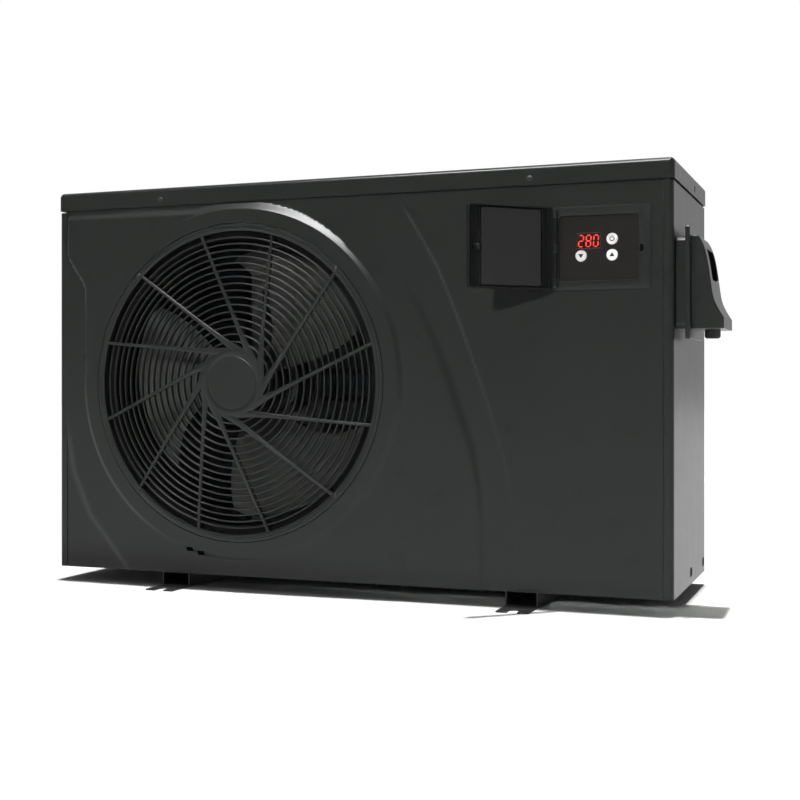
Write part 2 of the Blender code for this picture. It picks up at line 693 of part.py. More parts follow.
def fan_drive(unit, shroud_holes):
    """Shroud, motor on its bracket, and the turning shaft, rotor and nut."""
    centre = (FAN_X, FAN_Z)
    front = GRILLE_BACK + FIT
    flange_r = OPENING_R + SHROUD_FLANGE
    profile = [(SHROUD_R, front), (flange_r, front), (flange_r, front + 0.0025), (SHROUD_R + 0.008, front + 0.0025),
               (SHROUD_R + 0.0025, front + 0.008), (SHROUD_R + 0.0025, front + SHROUD_LEN),
               (SHROUD_R, front + SHROUD_LEN)]
    shroud = piece("fan_shroud", lathe_mesh(profile, "Y", centre, 48, ring=True), "panel_dark", unit)
    boolean(shroud, shroud_holes)
    motor_y = FAN_Y + FAN_HUB_LEN + MOTOR_GAP
    back_y = motor_y + MOTOR_LEN
    profile = [(SHAFT_R + SHAFT_CLEAR, motor_y), (MOTOR_R * 0.55, motor_y), (MOTOR_R * 0.6, motor_y + 0.006),
               (MOTOR_R, motor_y + 0.010), (MOTOR_R, back_y - 0.004), (MOTOR_R - 0.004, back_y),
               (SHAFT_R + SHAFT_CLEAR, back_y)]
    piece("fan_motor", lathe_mesh(profile, "Y", centre, 24, ring=True), "galvanised", unit)
    bracket_y = BRACKET_Y
    half = MOTOR_R + 0.012
    low, high = SHEET + FIT, PANEL_TOP - 0.020
    bm = box_mesh((FAN_X - half, bracket_y, low), (FAN_X + half, bracket_y + 0.002, high))
    bracket = piece("motor_bracket", bm, "galvanised", unit)
    windows = bmesh.new()
    for z0, z1 in ((low + 0.030, FAN_Z - half), (FAN_Z + half, high - 0.030)):
        add_box(windows, (FAN_X - half + 0.020, 0.0, z0), (FAN_X + half - 0.020, CASE_D, z1))
    boolean(bracket, tool("bracket_windows", windows, unit))
    hole = lathe_mesh(rod(SHAFT_R + 0.004, 0.0, CASE_D), "Y", centre, 24)
    boolean(bracket, tool("bracket_bore", hole, unit))
    axis = empty("fan_axis", (FAN_X, 0.0, FAN_Z), unit)
    piece("fan_shaft", lathe_mesh(rod(SHAFT_R, FAN_Y - 0.014, back_y + 0.006), "Y", (0, 0), 24), "steel", axis)
    rotor_profile = tube_profile(ROTOR_HUB_R, SHAFT_R + SHAFT_CLEAR, FAN_Y, FAN_Y + FAN_HUB_LEN)
    rotor = piece("fan_rotor", lathe_mesh(rotor_profile, "Y", (0, 0), 24, ring=True), "fan_plastic", axis)
    blades = bmesh.new()
    for k in range(BLADES):
        add_blade(blades, 45.0 + 360.0 / BLADES * k)
    boolean(rotor, tool("fan_blades", blades, axis), "UNION")
    nut_mesh = lathe_mesh(rod(0.010, FAN_Y - FIT - 0.008, FAN_Y - FIT), "Y", (0, 0), 6)
    nut = piece("fan_nut", nut_mesh, "zinc_screw", axis)
    thread = lathe_mesh(rod(SHAFT_R + SHAFT_CLEAR, FAN_Y - 0.02, FAN_Y + 0.01), "Y", (0, 0), 24)
    boolean(nut, tool("nut_thread", thread, axis))


def add_blade(bm, middle):
    """One broad blade: wide at the tip, swept forward, pitched along the axis."""
    radial, around, thick = 5, 5, 0.003
    grids = []
    for side in (0.0, 1.0):
        grid = []
        for i in range(radial + 1):
            t = i / radial
            radius = ROTOR_HUB_R - 0.004 + (ROTOR_R - ROTOR_HUB_R + 0.004) * t
            half = 24.0 + 16.0 * t
            row = []
            for j in range(around + 1):
                s = 2 * j / around - 1
                angle = math.radians(middle + 18.0 * t * t + half * s)
                y = FAN_Y + FAN_HUB_LEN / 2 + s * 0.020 - 0.004 * s * s + (side - 0.5) * thick
                row.append(bm.verts.new((radius * math.cos(angle), y, radius * math.sin(angle))))
            grid.append(row)
        grids.append(grid)
    front, back = grids
    for i in range(radial):
        for j in range(around):
            bm.faces.new((front[i][j], front[i + 1][j], front[i + 1][j + 1], front[i][j + 1]))
            bm.faces.new((back[i][j], back[i][j + 1], back[i + 1][j + 1], back[i + 1][j]))
    border = [(i, 0) for i in range(radial + 1)] + [(radial, j) for j in range(1, around + 1)]
    border += [(i, around) for i in range(radial - 1, -1, -1)] + [(0, j) for j in range(around - 1, 0, -1)]
    for (a, b), (c, d) in zip(border, border[1:] + border[:1]):
        bm.faces.new((front[a][b], back[a][b], back[c][d], front[c][d]))


# ---------------------------------------------------------------- refrigerant and water

def coil(unit):
    """L-shaped fin block behind the guard and along the left panel, with end plate and header."""
    inner = WRAP + COIL_GAP
    y1 = COIL_BACK
    y0 = y1 - COIL_T
    end = PARTITION_X + COIL_PAST
    z0, z1 = SHEET + FIT, PANEL_TOP - 0.012
    outline = [(inner, y1 - COIL_LEG), (inner + COIL_T, y1 - COIL_LEG), (inner + COIL_T, y0), (end, y0),
               (end, y1), (inner, y1)]
    bm = bmesh.new()
    add_prism(bm, outline, "Z", z0, z1)
    piece("evaporator_fins", bm, "aluminium_fin", unit)
    plate = box_mesh((end + FIT, y0, z0), (end + FIT + SHEET, y1, z1))
    piece("evaporator_end_plate", plate, "galvanised", unit)
    header_x = end + FIT + SHEET + FIT + 0.026
    header_y = y0 + COIL_T / 2
    header = bmesh.new()
    add_lathe(header, rod(0.009, 0.060, 0.440), "Z", (header_x, header_y), 16)
    pipe_tool = bmesh.new()
    for k in range(6):
        z = 0.090 + k * 0.064
        add_lathe(pipe_tool, rod(0.004, end + FIT + SHEET + FIT, header_x), "X", (header_y, z), 10)
    obj = piece("coil_header", header, "copper", unit)
    boolean(obj, tool("header_branches", pipe_tool, unit), "UNION")
    return header_x, header_y


def partition(unit):
    """Steel wall between the fan's side and the service side."""
    y_front = Y0 + WALL + 0.010
    y_back = COIL_BACK - COIL_T - 0.002
    bm = box_mesh((PARTITION_X, y_front, SHEET + FIT), (PARTITION_X + SHEET, y_back, PANEL_TOP - 0.006))
    piece("partition", bm, "galvanised", unit)


COMPRESSOR = (0.755, 0.140)
ACCUMULATOR = (0.712, 0.238)
EXCHANGER = (WATER_X, 0.190)
EXCHANGER_R = 0.064
EXCHANGER_TOP = 0.385
VALVE = (0.775, 0.125, 0.385)


def compressor(unit):
    x, y = COMPRESSOR
    floor = SHEET + FIT
    grommet_h = 0.014
    base = floor + grommet_h + FIT
    profile = [(0.0, base), (0.070, base), (0.070, base + 0.003), (0.056, base + 0.004), (0.060, base + 0.020),
               (0.060, base + 0.235), (0.050, base + 0.262), (0.028, base + 0.275), (0.0, base + 0.278)]
    piece("compressor", lathe_mesh(profile, "Z", (x, y), 24), "compressor", unit)
    for k in range(3):
        angle = math.radians(90 + 120 * k)
        spot = (x + 0.058 * math.cos(angle), y + 0.058 * math.sin(angle))
        piece("compressor_grommet_%d" % (k + 1), lathe_mesh(rod(0.010, floor, floor + grommet_h), "Z", spot, 16),
              "rubber", unit)
    top = base + 0.278
    profile = [(0.0, 0.060), (0.020, 0.064), (0.030, 0.078), (0.030, 0.235), (0.020, 0.250), (0.0, 0.254)]
    piece("accumulator", lathe_mesh(profile, "Z", ACCUMULATOR, 18), "compressor", unit)
    return top


def heat_exchanger(unit):
    """Water heat exchanger: a plastic shell with two sockets for the water pipes."""
    x, y = EXCHANGER
    z0 = SHEET + FIT
    profile = [(0.0, z0), (EXCHANGER_R, z0), (EXCHANGER_R, EXCHANGER_TOP - 0.020),
               (EXCHANGER_R - 0.020, EXCHANGER_TOP), (0.0, EXCHANGER_TOP)]
    shell = piece("heat_exchanger", lathe_mesh(profile, "Z", (x, y), 28), "pvc", unit)
    socket_end = y + EXCHANGER_R + 0.018
    sockets = bmesh.new()
    bores = bmesh.new()
    for z in (WATER_IN_Z, WATER_OUT_Z):
        add_lathe(sockets, rod(WATER_PIPE_R + 0.005, y, socket_end), "Y", (x, z), 24)
        add_lathe(bores, rod(WATER_BORE_R, y + EXCHANGER_R - 0.030, socket_end + 0.01), "Y", (x, z), 24)
    boolean(shell, tool("exchanger_sockets", sockets, unit), "UNION")
    boolean(shell, tool("exchanger_bores", bores, unit))
    pipe_end = CASE_D + WATER_OUT
    for word, z in (("inlet", WATER_IN_Z), ("outlet", WATER_OUT_Z)):
        profile = [(WATER_BORE_R, socket_end + FIT), (WATER_PIPE_R, socket_end + FIT),
                   (WATER_PIPE_R, pipe_end - 0.012), (WATER_PIPE_R + 0.004, pipe_end - 0.012),
                   (WATER_PIPE_R + 0.004, pipe_end), (WATER_BORE_R, pipe_end)]
        piece("water_%s_pipe" % word, lathe_mesh(profile, "Y", (x, z), 24, ring=True), "pvc", unit)
        nut = [(WATER_PIPE_R + FIT * 2, pipe_end - 0.038), (WATER_PIPE_R + 0.009, pipe_end - 0.038),
               (WATER_PIPE_R + 0.011, pipe_end - 0.034), (WATER_PIPE_R + 0.011, pipe_end - 0.0005),
               (WATER_PIPE_R + 0.004 + FIT * 2, pipe_end - 0.0005),
               (WATER_PIPE_R + 0.004 + FIT * 2, pipe_end - 0.0125), (WATER_PIPE_R + FIT * 2, pipe_end - 0.0125)]
        piece("%s_union_nut" % word, lathe_mesh(nut, "Y", (x, z), 24, ring=True), "panel_dark", unit)


def valves_and_pipes(unit, compressor_top, header):
    """Four-way valve, expansion valve, and the copper pipes that join them."""
    x, y, z = VALVE
    body = piece("four_way_valve", lathe_mesh(rod(0.013, x - 0.045, x + 0.045), "X", (y, z), 20), "brass", unit)
    ports = bmesh.new()
    for offset in (-0.025, 0.0, 0.025):
        add_lathe(ports, rod(0.006, z, z + 0.026), "Z", (x + offset, y), 12)
    add_lathe(ports, rod(0.006, z - 0.026, z), "Z", (x, y), 12)
    boolean(body, tool("valve_ports", ports, unit), "UNION")
    top, low = z + 0.026 + FIT, z - 0.026 - FIT
    cx, cy = COMPRESSOR
    radius = 0.005
    pipe("discharge_pipe", [(cx, cy, compressor_top + FIT), (cx, cy, compressor_top + 0.014),
                            (x - 0.008, y - 0.006, low - 0.026), (x, y, low - 0.012), (x, y, low)],
         radius, "copper", unit)
    hx, hy = header
    pipe("coil_pipe", [(x - 0.025, y, top), (x - 0.025, y, top + 0.012), (x - 0.045, y + 0.030, top + 0.028),
                       (hx + 0.015, hy - 0.060, 0.460), (hx, hy - 0.010, 0.464), (hx, hy, 0.452),
                       (hx, hy, 0.440 + FIT)], radius, "copper", unit)
    ax, ay = ACCUMULATOR
    pipe("suction_pipe", [(x, y, top), (x, y, top + 0.010), (x - 0.014, y + 0.040, top + 0.012),
                          (ax + 0.010, ay - 0.025, 0.340), (ax, ay, 0.280), (ax, ay, 0.254 + FIT)],
         radius, "copper", unit)
    ex, ey = EXCHANGER
    pipe("gas_pipe", [(x + 0.025, y, top), (x + 0.025, y, top + 0.010), (x + 0.060, y + 0.020, top + 0.024),
                      (ex - 0.020, ey - 0.012, top + 0.020), (ex, ey, top - 0.004), (ex, ey, EXCHANGER_TOP + FIT)],
         radius, "copper", unit)
    vx, vy, vz = 0.690, 0.050, 0.250
    profile = [(0.0, vz - 0.024), (0.006, vz - 0.024), (0.006, vz - 0.014), (0.011, vz - 0.014), (0.011, vz + 0.014),
               (0.016, vz + 0.018), (0.016, vz + 0.026), (0.006, vz + 0.026), (0.006, vz + 0.036), (0.0, vz + 0.036)]
    piece("expansion_valve", lathe_mesh(profile, "Z", (vx, vy), 20), "brass", unit)
    front = ey - EXCHANGER_R
    pipe("liquid_pipe", [(ex, front - 0.001, 0.060), (ex, front - 0.016, 0.060), (ex - 0.050, 0.055, 0.060),
                         (vx + 0.060, 0.046, 0.070), (vx + 0.010, vy, 0.120), (vx, vy, vz - 0.050),
                         (vx, vy, vz - 0.024 - FIT)], 0.004, "copper", unit)
    pipe("distributor_pipe", [(vx, vy, vz + 0.036 + FIT), (vx, vy, vz + 0.052), (vx - 0.016, vy + 0.040, 0.330),
                              (ax - 0.043, vy + 0.130, 0.290), (ax - 0.043, ay, 0.120), (hx - 0.006, hy - 0.010, 0.036),
                              (hx, hy, 0.046), (hx, hy, 0.060 - FIT)], 0.004, "copper", unit)


def electrics(unit):
    """Tray over the service side with the main board and the terminal block."""
    x0, x1 = PARTITION_X + SHEET + FIT, X1 - WALL - JOGGLE - 0.002
    y0, y1 = 0.030, COIL_BACK - COIL_T - 0.004
    z0 = PANEL_TOP - TRAY_DROP
    tray = piece("electrical_box", box_mesh((x0, y0, z0), (x1, y1, z0 + 0.045)), "galvanised", unit)
    pocket = box_mesh((x0 + SHEET, y0 + SHEET, z0 + SHEET), (x1 - SHEET, y1 - SHEET, z0 + 0.06))
    boolean(tray, tool("tray_pocket", pocket, unit))
    floor = z0 + SHEET + FIT
    board = bmesh.new()
    add_box(board, (x0 + 0.020, y0 + 0.020, floor), (x0 + 0.200, y1 - 0.020, floor + 0.0016))
    piece("control_board", board, "circuit_board", unit)
    block = box_mesh((x1 - 0.060, y0 + 0.030, floor), (x1 - 0.030, y0 + 0.120, floor + 0.022))
    piece("terminal_block", block, "rubber", unit)


# ---------------------------------------------------------------- control panel and door

def bezel_corners(shrink=0.0):
    x0 = DOOR_AXIS_X + BEZEL_X0
    middle = DOOR_Z0 + DOOR_H / 2
    return ((x0 + shrink, middle - BEZEL_H / 2 + shrink), (x0 + BEZEL_W - shrink, middle + BEZEL_H / 2 - shrink))


def knuckle_spans():
    """Heights of the frame's three ears, and of the door's two knuckles between them."""
    low, high = DOOR_Z0 + 0.004, DOOR_Z0 + DOOR_H - 0.004
    middle = (low + high) / 2
    ears = [(low, low + EAR_H), (middle - EAR_H / 2, middle + EAR_H / 2), (high - EAR_H, high)]
    knuckles = [(ears[0][1] + KNUCKLE_GAP, ears[1][0] - KNUCKLE_GAP),
                (ears[1][1] + KNUCKLE_GAP, ears[2][0] - KNUCKLE_GAP)]
    return ears, knuckles


LEFT_COLUMN, RIGHT_COLUMN = DOOR_AXIS_X + 0.0360, DOOR_AXIS_X + 0.0800
TOP_ROW, LOW_ROW = DOOR_Z0 + 0.0700, DOOR_Z0 + 0.0475
BUTTONS = {"power_button": (RIGHT_COLUMN, TOP_ROW), "up_button": (RIGHT_COLUMN, LOW_ROW),
           "down_button": (LEFT_COLUMN, LOW_ROW)}
DISPLAY = ((LEFT_COLUMN - 0.0055, TOP_ROW - 0.0125), (LEFT_COLUMN + 0.0285, TOP_ROW + 0.0095))
FRAME_Y = DOOR_AXIS_Y + KNUCKLE_R + 0.0002


def control_panel(unit):
    """Frame with the recess, display plate, circuit board and the three buttons."""
    back = FRAME_Y + FRAME_T
    low = (DOOR_AXIS_X - FRAME_MARGIN, DOOR_Z0 - 0.0005)
    high = (DOOR_AXIS_X + DOOR_REACH, DOOR_Z0 + DOOR_H + 0.0005)
    bm = bmesh.new()
    add_prism(bm, rounded(low, high, 0.004), "Y", FRAME_Y, back)
    frame = piece("control_frame", bm, "panel", unit)
    tub = bmesh.new()
    tub_low, tub_high = bezel_corners(-LEDGE * 0.9)
    add_prism(tub, rounded(tub_low, tub_high, BEZEL_R), "Y", FRAME_Y + 0.001, FRAME_Y + BEZEL_DEPTH)
    boolean(frame, tool("frame_tub", tub, unit), "UNION")
    ears = bmesh.new()
    spans, _ = knuckle_spans()
    for z0, z1 in spans:
        outline = [(DOOR_AXIS_X + KNUCKLE_R, FRAME_Y + 0.001)]
        for i in range(13):
            angle = math.radians(-180.0 * i / 12)
            outline.append((DOOR_AXIS_X + KNUCKLE_R * math.cos(angle), DOOR_AXIS_Y + KNUCKLE_R * math.sin(angle)))
        outline.append((DOOR_AXIS_X - KNUCKLE_R, FRAME_Y + 0.001))
        add_prism(ears, outline, "Z", z0, z1)
    boolean(frame, tool("frame_ears", ears, unit), "UNION")
    ledge_y = FRAME_Y + PLATE_SINK + PLATE_T + FIT
    cut = bmesh.new()
    add_prism(cut, rounded(*bezel_corners(), BEZEL_R), "Y", FRAME_Y - 0.0005, ledge_y)
    boolean(frame, tool("frame_opening", cut, unit))
    cut = bmesh.new()
    add_prism(cut, rounded(*bezel_corners(LEDGE), BEZEL_R - LEDGE), "Y", ledge_y - 0.001, 0.030)
    boolean(frame, tool("frame_inside", cut, unit))
    catch_x = DOOR_AXIS_X + CATCH_REACH
    catch_z = DOOR_Z0 + DOOR_H / 2
    slot = box_mesh((catch_x - 0.0024, -0.03, catch_z - 0.0075), (catch_x + 0.0024, 0.03, catch_z + 0.0026))
    boolean(frame, tool("catch_slot", slot, unit))
    bore = lathe_mesh(rod(PIN_R + PIN_CLEAR, DOOR_Z0 - 0.01, DOOR_Z0 + DOOR_H + 0.01), "Z",
                      (DOOR_AXIS_X, DOOR_AXIS_Y), 24)
    boolean(frame, tool("ear_bore", bore, unit))
    pin = rod(PIN_R, spans[0][0] - 0.001, spans[-1][1] + 0.001)
    piece("door_hinge_pin", lathe_mesh(pin, "Z", (DOOR_AXIS_X, DOOR_AXIS_Y), 24), "steel", unit)

    plate = bmesh.new()
    plate_y = FRAME_Y + PLATE_SINK
    add_prism(plate, rounded(*bezel_corners(FIT), BEZEL_R - FIT), "Y", plate_y, plate_y + PLATE_T)
    plate_obj = piece("display_plate", plate, "display_plate", unit)
    holes = bmesh.new()
    for spot in BUTTONS.values():
        add_lathe(holes, rod(BUTTON_R + FIT, plate_y - 0.01, plate_y + 0.01), "Y", spot, 24)
    (dx0, dz0), (dx1, dz1) = DISPLAY
    add_box(holes, (dx0, plate_y - 0.01, dz0), (dx1, plate_y + 0.01, dz1))
    boolean(plate_obj, tool("plate_holes", holes, unit))
    board_y = FRAME_Y + BEZEL_DEPTH + FIT
    board_low, board_high = bezel_corners(-0.0005)
    board = box_mesh((board_low[0], board_y, board_low[1]), (board_high[0], board_y + 0.0016, board_high[1]))
    board_obj = piece("control_pcb", board, "circuit_board", unit)
    module = box_mesh((dx0 + FIT, plate_y + 0.0004, dz0 + FIT), (dx1 - FIT, board_y + 0.001, dz1 - FIT))
    boolean(board_obj, tool("display_module", module, unit), "UNION")
    for name, (x, z) in BUTTONS.items():
        front = plate_y - BUTTON_PROUD
        collar = plate_y + PLATE_T + FIT
        profile = [(0.0, front), (BUTTON_R - 0.0012, front), (BUTTON_R, front + 0.0008), (BUTTON_R, collar),
                   (BUTTON_R + 0.001, collar), (BUTTON_R + 0.001, collar + 0.001), (0.003, collar + 0.001),
                   (0.003, board_y - BUTTON_TRAVEL - 0.0006), (0.0, board_y - BUTTON_TRAVEL - 0.0006)]
        piece(name, lathe_mesh(profile, "Y", (0, 0), 24), "button", unit, place=(x, 0.0, z))


def control_door(unit):
    """Door modelled closed in front of the frame, about its hinge axis, then swung open."""
    axis = empty("door_axis", (DOOR_AXIS_X, DOOR_AXIS_Y, 0.0), unit, turn=-DOOR_OPEN)
    face = -DOOR_T + 0.0035
    back = 0.0035
    z0, z1 = DOOR_Z0, DOOR_Z0 + DOOR_H
    bm = box_mesh((DOOR_EDGE, face, z0), (DOOR_REACH, back, z1))
    outer = [edge for edge in bm.edges if max(v.co.y for v in edge.verts) < face + 1e-5]
    bmesh.ops.bevel(bm, geom=outer, offset=0.0015, segments=2, profile=0.5, affect="EDGES")
    door = piece("control_door", bm, "panel", axis)
    pocket = box_mesh((DOOR_EDGE + DOOR_WALL, face + DOOR_WALL, z0 + DOOR_WALL),
                      (DOOR_REACH - DOOR_WALL, back + 0.01, z1 - DOOR_WALL))
    boolean(door, tool("door_pocket", pocket, axis))
    middle = (z0 + z1) / 2
    adds = bmesh.new()
    add_lathe(adds, rod(0.0055, face + 0.001, back - 0.0005), "Y", (CATCH_REACH, middle), 16)
    _, spans = knuckle_spans()
    for low, high in spans:
        add_lathe(adds, rod(KNUCKLE_R, low, high), "Z", (0.0, 0.0), 24)
    boolean(door, tool("door_bosses", adds, axis), "UNION")
    webs = bmesh.new()
    for low, high in spans:
        add_box(webs, (0.0, -KNUCKLE_R * 0.9, low + 0.0005), (DOOR_EDGE + 0.001, 0.002, high - 0.0005))
    boolean(door, tool("door_webs", webs, axis), "UNION")
    stem_r = 0.0019
    bores = lathe_mesh(rod(PIN_R + PIN_CLEAR, z0 - 0.01, z1 + 0.01), "Z", (0, 0), 24)
    add_lathe(bores, rod(stem_r + FIT, face - 0.01, back + 0.01), "Y", (CATCH_REACH, middle), 16)
    boolean(door, tool("door_bores", bores, axis))
    tongue_y = back + (FRAME_Y - DOOR_AXIS_Y - back) + FRAME_T + 0.0008
    profile = [(0.0, face - 0.0019), (0.0050, face - 0.0019), (0.0058, face - 0.0012), (0.0058, face - FIT),
               (stem_r, face - FIT), (stem_r, tongue_y + 0.0016), (0.0, tongue_y + 0.0016)]
    catch = piece("door_catch", lathe_mesh(profile, "Y", (0, 0), 16), "panel_dark", axis,
                  place=(CATCH_REACH, 0.0, middle))
    tongue = box_mesh((-0.0016, tongue_y, -0.0062), (0.0016, tongue_y + 0.0016, 0.0))
    boolean(catch, tool("catch_tongue", tongue, axis, place=(CATCH_REACH, 0.0, middle)), "UNION")


# ---------------------------------------------------------------- cable cover

def hood_profile(x0):
    """Front view of the hood, from its flange outwards: tall at the wall, flared at the foot."""
    z0, z1 = COVER_Z0, COVER_Z0 + COVER_H
    out = HOOD_OUT
    return [(x0, z0), (x0 + out, z0), (x0 + out, z0 + 0.015), (x0 + out * 0.78, z0 + 0.031),
            (x0 + out * 0.66, z0 + 0.046), (x0 + out * 0.55, z0 + 0.078), (x0 + out * 0.47, z0 + 0.100),
            (x0 + out * 0.36, z0 + 0.116), (x0 + out * 0.22, z1), (x0, z1)]


def cable_cover(unit):
    """Base with its flange, hollow hood with a hand-hold, and the cable's gland."""
    y0, y1 = COVER_Y0, COVER_Y0 + COVER_LEN
    z0, z1 = COVER_Z0, COVER_Z0 + COVER_H
    x0 = X1 + FIT
    flange_x = x0 + NECK_OUT
    bm = box_mesh((x0, y0, z0), (flange_x + 0.001, y1, z1 - 0.010))
    soften(bm, 0.006, 2, along=0)
    base = piece("cable_cover_base", bm, "panel", unit)
    margin = COVER_FLANGE_MARGIN
    flange = box_mesh((flange_x, y0 - margin + 0.001, z0 - margin), (flange_x + COVER_FLANGE_T, y1 + margin, z1 + margin))
    soften(flange, 0.004, 2, along=0)
    boolean(base, tool("cover_flange", flange, unit), "UNION")
    window = cover_window()
    boolean(base, tool("cover_passage", box_mesh((X1 - 0.03, *window[0]), (X1 + 0.04, *window[1])), unit))
    hood_x = flange_x + COVER_FLANGE_T + FIT
    bm = bmesh.new()
    add_prism(bm, hood_profile(hood_x), "Y", y0, y1)
    hood = piece("cable_cover_hood", bm, "panel", unit)
    inside = bmesh.new()
    outline = []
    for x, z in hood_profile(hood_x):
        outline.append((x - HOOD_WALL if x > hood_x else x - 0.01, min(max(z, z0 + HOOD_WALL), z1 - HOOD_WALL)))
    add_prism(inside, outline, "Y", y0 + HOOD_WALL, y1 - HOOD_WALL)
    boolean(hood, tool("hood_inside", inside, unit))
    hold = box_mesh((hood_x + 0.012, y0 + 0.022, z0 + 0.068), (hood_x + 0.06, y1 - 0.007, z0 + 0.112))
    boolean(hood, tool("hand_hold", hold, unit))
    gland_spot = (hood_x + HOOD_OUT * 0.5, y0 + COVER_LEN * 0.55)
    hole = lathe_mesh(rod(0.008, z0 - 0.01, z0 + 0.01), "Z", gland_spot, 16)
    boolean(hood, tool("gland_hole", hole, unit))
    profile = [(0.005, z0 - 0.012), (0.009, z0 - 0.012), (0.011, z0 - 0.009), (0.011, z0 - FIT),
               (0.008 - FIT, z0 - FIT), (0.008 - FIT, z0 + 0.012), (0.005, z0 + 0.012)]
    piece("cable_gland", lathe_mesh(profile, "Z", gland_spot, 16, ring=True), "rubber", unit)


# ---------------------------------------------------------------- whole unit

def main():
    clear_scene()
    middle_x = HOOD_EDGE / 2
    middle_y = (DOOR_FRONT_EDGE + CASE_D + FOOT_OUT) / 2
    unit = empty("unit", (-middle_x, -middle_y, FOOT_H))
    base_pan(unit)
    foot("foot_left", FOOT_X[0], unit)
    foot("foot_right", FOOT_X[1], unit)
    front_panel(unit)
    side_panels(unit)
    rear_panels(unit)
    top_cover(unit)
    fan_drive(unit, fan_grille(unit))
    header = coil(unit)
    partition(unit)
    top = compressor(unit)
    heat_exchanger(unit)
    valves_and_pipes(unit, top, header)
    electrics(unit)
    control_panel(unit)
    control_door(unit)
    cable_cover(unit)


def door_corner(reach, off):
    """Depth of a door corner at rest, from its place when closed."""
    angle = math.radians(-DOOR_OPEN)
    return DOOR_AXIS_Y + reach * math.sin(angle) + off * math.cos(angle)


DOOR_FRONT_EDGE = door_corner(DOOR_REACH, 0.0035)

main()
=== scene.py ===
"""Looks of the pool heat pump: moulded charcoal panels, fan grille, control panel and door,
cable cover, feet, coil and the parts behind them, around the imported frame.
"""
import json
import math

import bmesh
import bpy
import numpy as np
from mathutils import Matrix, Vector

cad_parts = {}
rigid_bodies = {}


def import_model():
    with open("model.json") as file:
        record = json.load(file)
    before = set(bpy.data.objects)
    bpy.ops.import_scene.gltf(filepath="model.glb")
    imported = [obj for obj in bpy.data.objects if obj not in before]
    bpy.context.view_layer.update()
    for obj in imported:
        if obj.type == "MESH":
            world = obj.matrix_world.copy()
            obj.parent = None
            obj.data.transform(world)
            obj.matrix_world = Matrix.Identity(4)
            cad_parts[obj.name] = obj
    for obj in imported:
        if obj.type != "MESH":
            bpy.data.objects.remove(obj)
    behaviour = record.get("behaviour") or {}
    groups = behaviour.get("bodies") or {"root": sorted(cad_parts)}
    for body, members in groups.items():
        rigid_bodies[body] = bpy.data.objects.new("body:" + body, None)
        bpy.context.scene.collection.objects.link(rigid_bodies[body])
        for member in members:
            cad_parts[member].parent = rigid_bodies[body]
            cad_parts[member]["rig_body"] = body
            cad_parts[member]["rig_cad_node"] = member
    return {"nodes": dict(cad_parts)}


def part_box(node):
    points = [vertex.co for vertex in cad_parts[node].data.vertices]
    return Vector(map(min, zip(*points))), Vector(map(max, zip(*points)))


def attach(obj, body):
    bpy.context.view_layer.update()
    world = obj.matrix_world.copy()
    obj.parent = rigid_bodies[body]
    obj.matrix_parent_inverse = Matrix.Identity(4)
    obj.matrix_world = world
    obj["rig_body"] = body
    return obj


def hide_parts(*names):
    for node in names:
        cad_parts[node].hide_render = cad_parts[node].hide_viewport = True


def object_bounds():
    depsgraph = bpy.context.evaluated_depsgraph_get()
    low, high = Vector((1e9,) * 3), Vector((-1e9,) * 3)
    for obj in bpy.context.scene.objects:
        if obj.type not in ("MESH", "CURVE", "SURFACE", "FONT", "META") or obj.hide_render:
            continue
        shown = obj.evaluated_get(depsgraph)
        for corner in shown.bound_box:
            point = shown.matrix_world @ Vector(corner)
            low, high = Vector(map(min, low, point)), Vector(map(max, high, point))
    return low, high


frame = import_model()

CAD_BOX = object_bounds()
NODES = frame["nodes"]
SLOT_OF = {name: node.data.materials[0].name for name, node in NODES.items()}

# Casing coordinates: X from the cover's left edge, Y from its front edge, Z from the pan's underside
COVER_LOW, COVER_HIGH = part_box("top_cover")
PAN_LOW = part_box("base_pan")[0]
CORNER = Vector((COVER_LOW.x, COVER_LOW.y, PAN_LOW.z))
CASE_W = COVER_HIGH.x - COVER_LOW.x
CASE_D = COVER_HIGH.y - COVER_LOW.y
CASE_H = COVER_HIGH.z - PAN_LOW.z
SKIRT = COVER_HIGH.z - COVER_LOW.z
FIT = 0.0003
WALL = 0.0025


def at(x, y, z):
    """A point in casing coordinates, in the frame's own."""
    return CORNER + Vector((x, y, z))


def local_box(node):
    """A CAD node's box in casing coordinates."""
    low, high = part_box(node)
    return low - CORNER, high - CORNER


# ---------------------------------------------------------------- camera, light and floor

CAMERA_PLACE = (1.2787, -1.8019, 0.2963)
CAMERA_TURN = 20.69
CAMERA_LENS = 58.65
CAMERA_SHIFT = -0.0187
WORLD_FRONT = 0.13
WORLD_BACK = 0.52
WORLD_TOP = 0.30


def camera():
    data = bpy.data.cameras.new("camera")
    data.lens = CAMERA_LENS
    data.sensor_width = 36.0
    data.shift_y = CAMERA_SHIFT
    data.clip_end = 50.0
    obj = bpy.data.objects.new("camera", data)
    bpy.context.scene.collection.objects.link(obj)
    obj.location = at(*CAMERA_PLACE)
    obj.rotation_euler = (math.radians(90.0), 0.0, math.radians(CAMERA_TURN))
    bpy.context.scene.camera = obj


def area_light(name, place, target, size, power):
    data = bpy.data.lights.new(name, "AREA")
    data.shape = "RECTANGLE"
    data.size, data.size_y = size
    data.energy = power
    obj = bpy.data.objects.new(name, data)
    bpy.context.scene.collection.objects.link(obj)
    obj.location = place
    aim = Vector(target) - Vector(place)
    obj.rotation_euler = aim.to_track_quat("-Z", "Y").to_euler()
    return obj


def sun_light(name, power, spread, turn):
    data = bpy.data.lights.new(name, "SUN")
    data.energy = power
    data.angle = math.radians(spread)
    obj = bpy.data.objects.new(name, data)
    bpy.context.scene.collection.objects.link(obj)
    obj.rotation_euler = turn


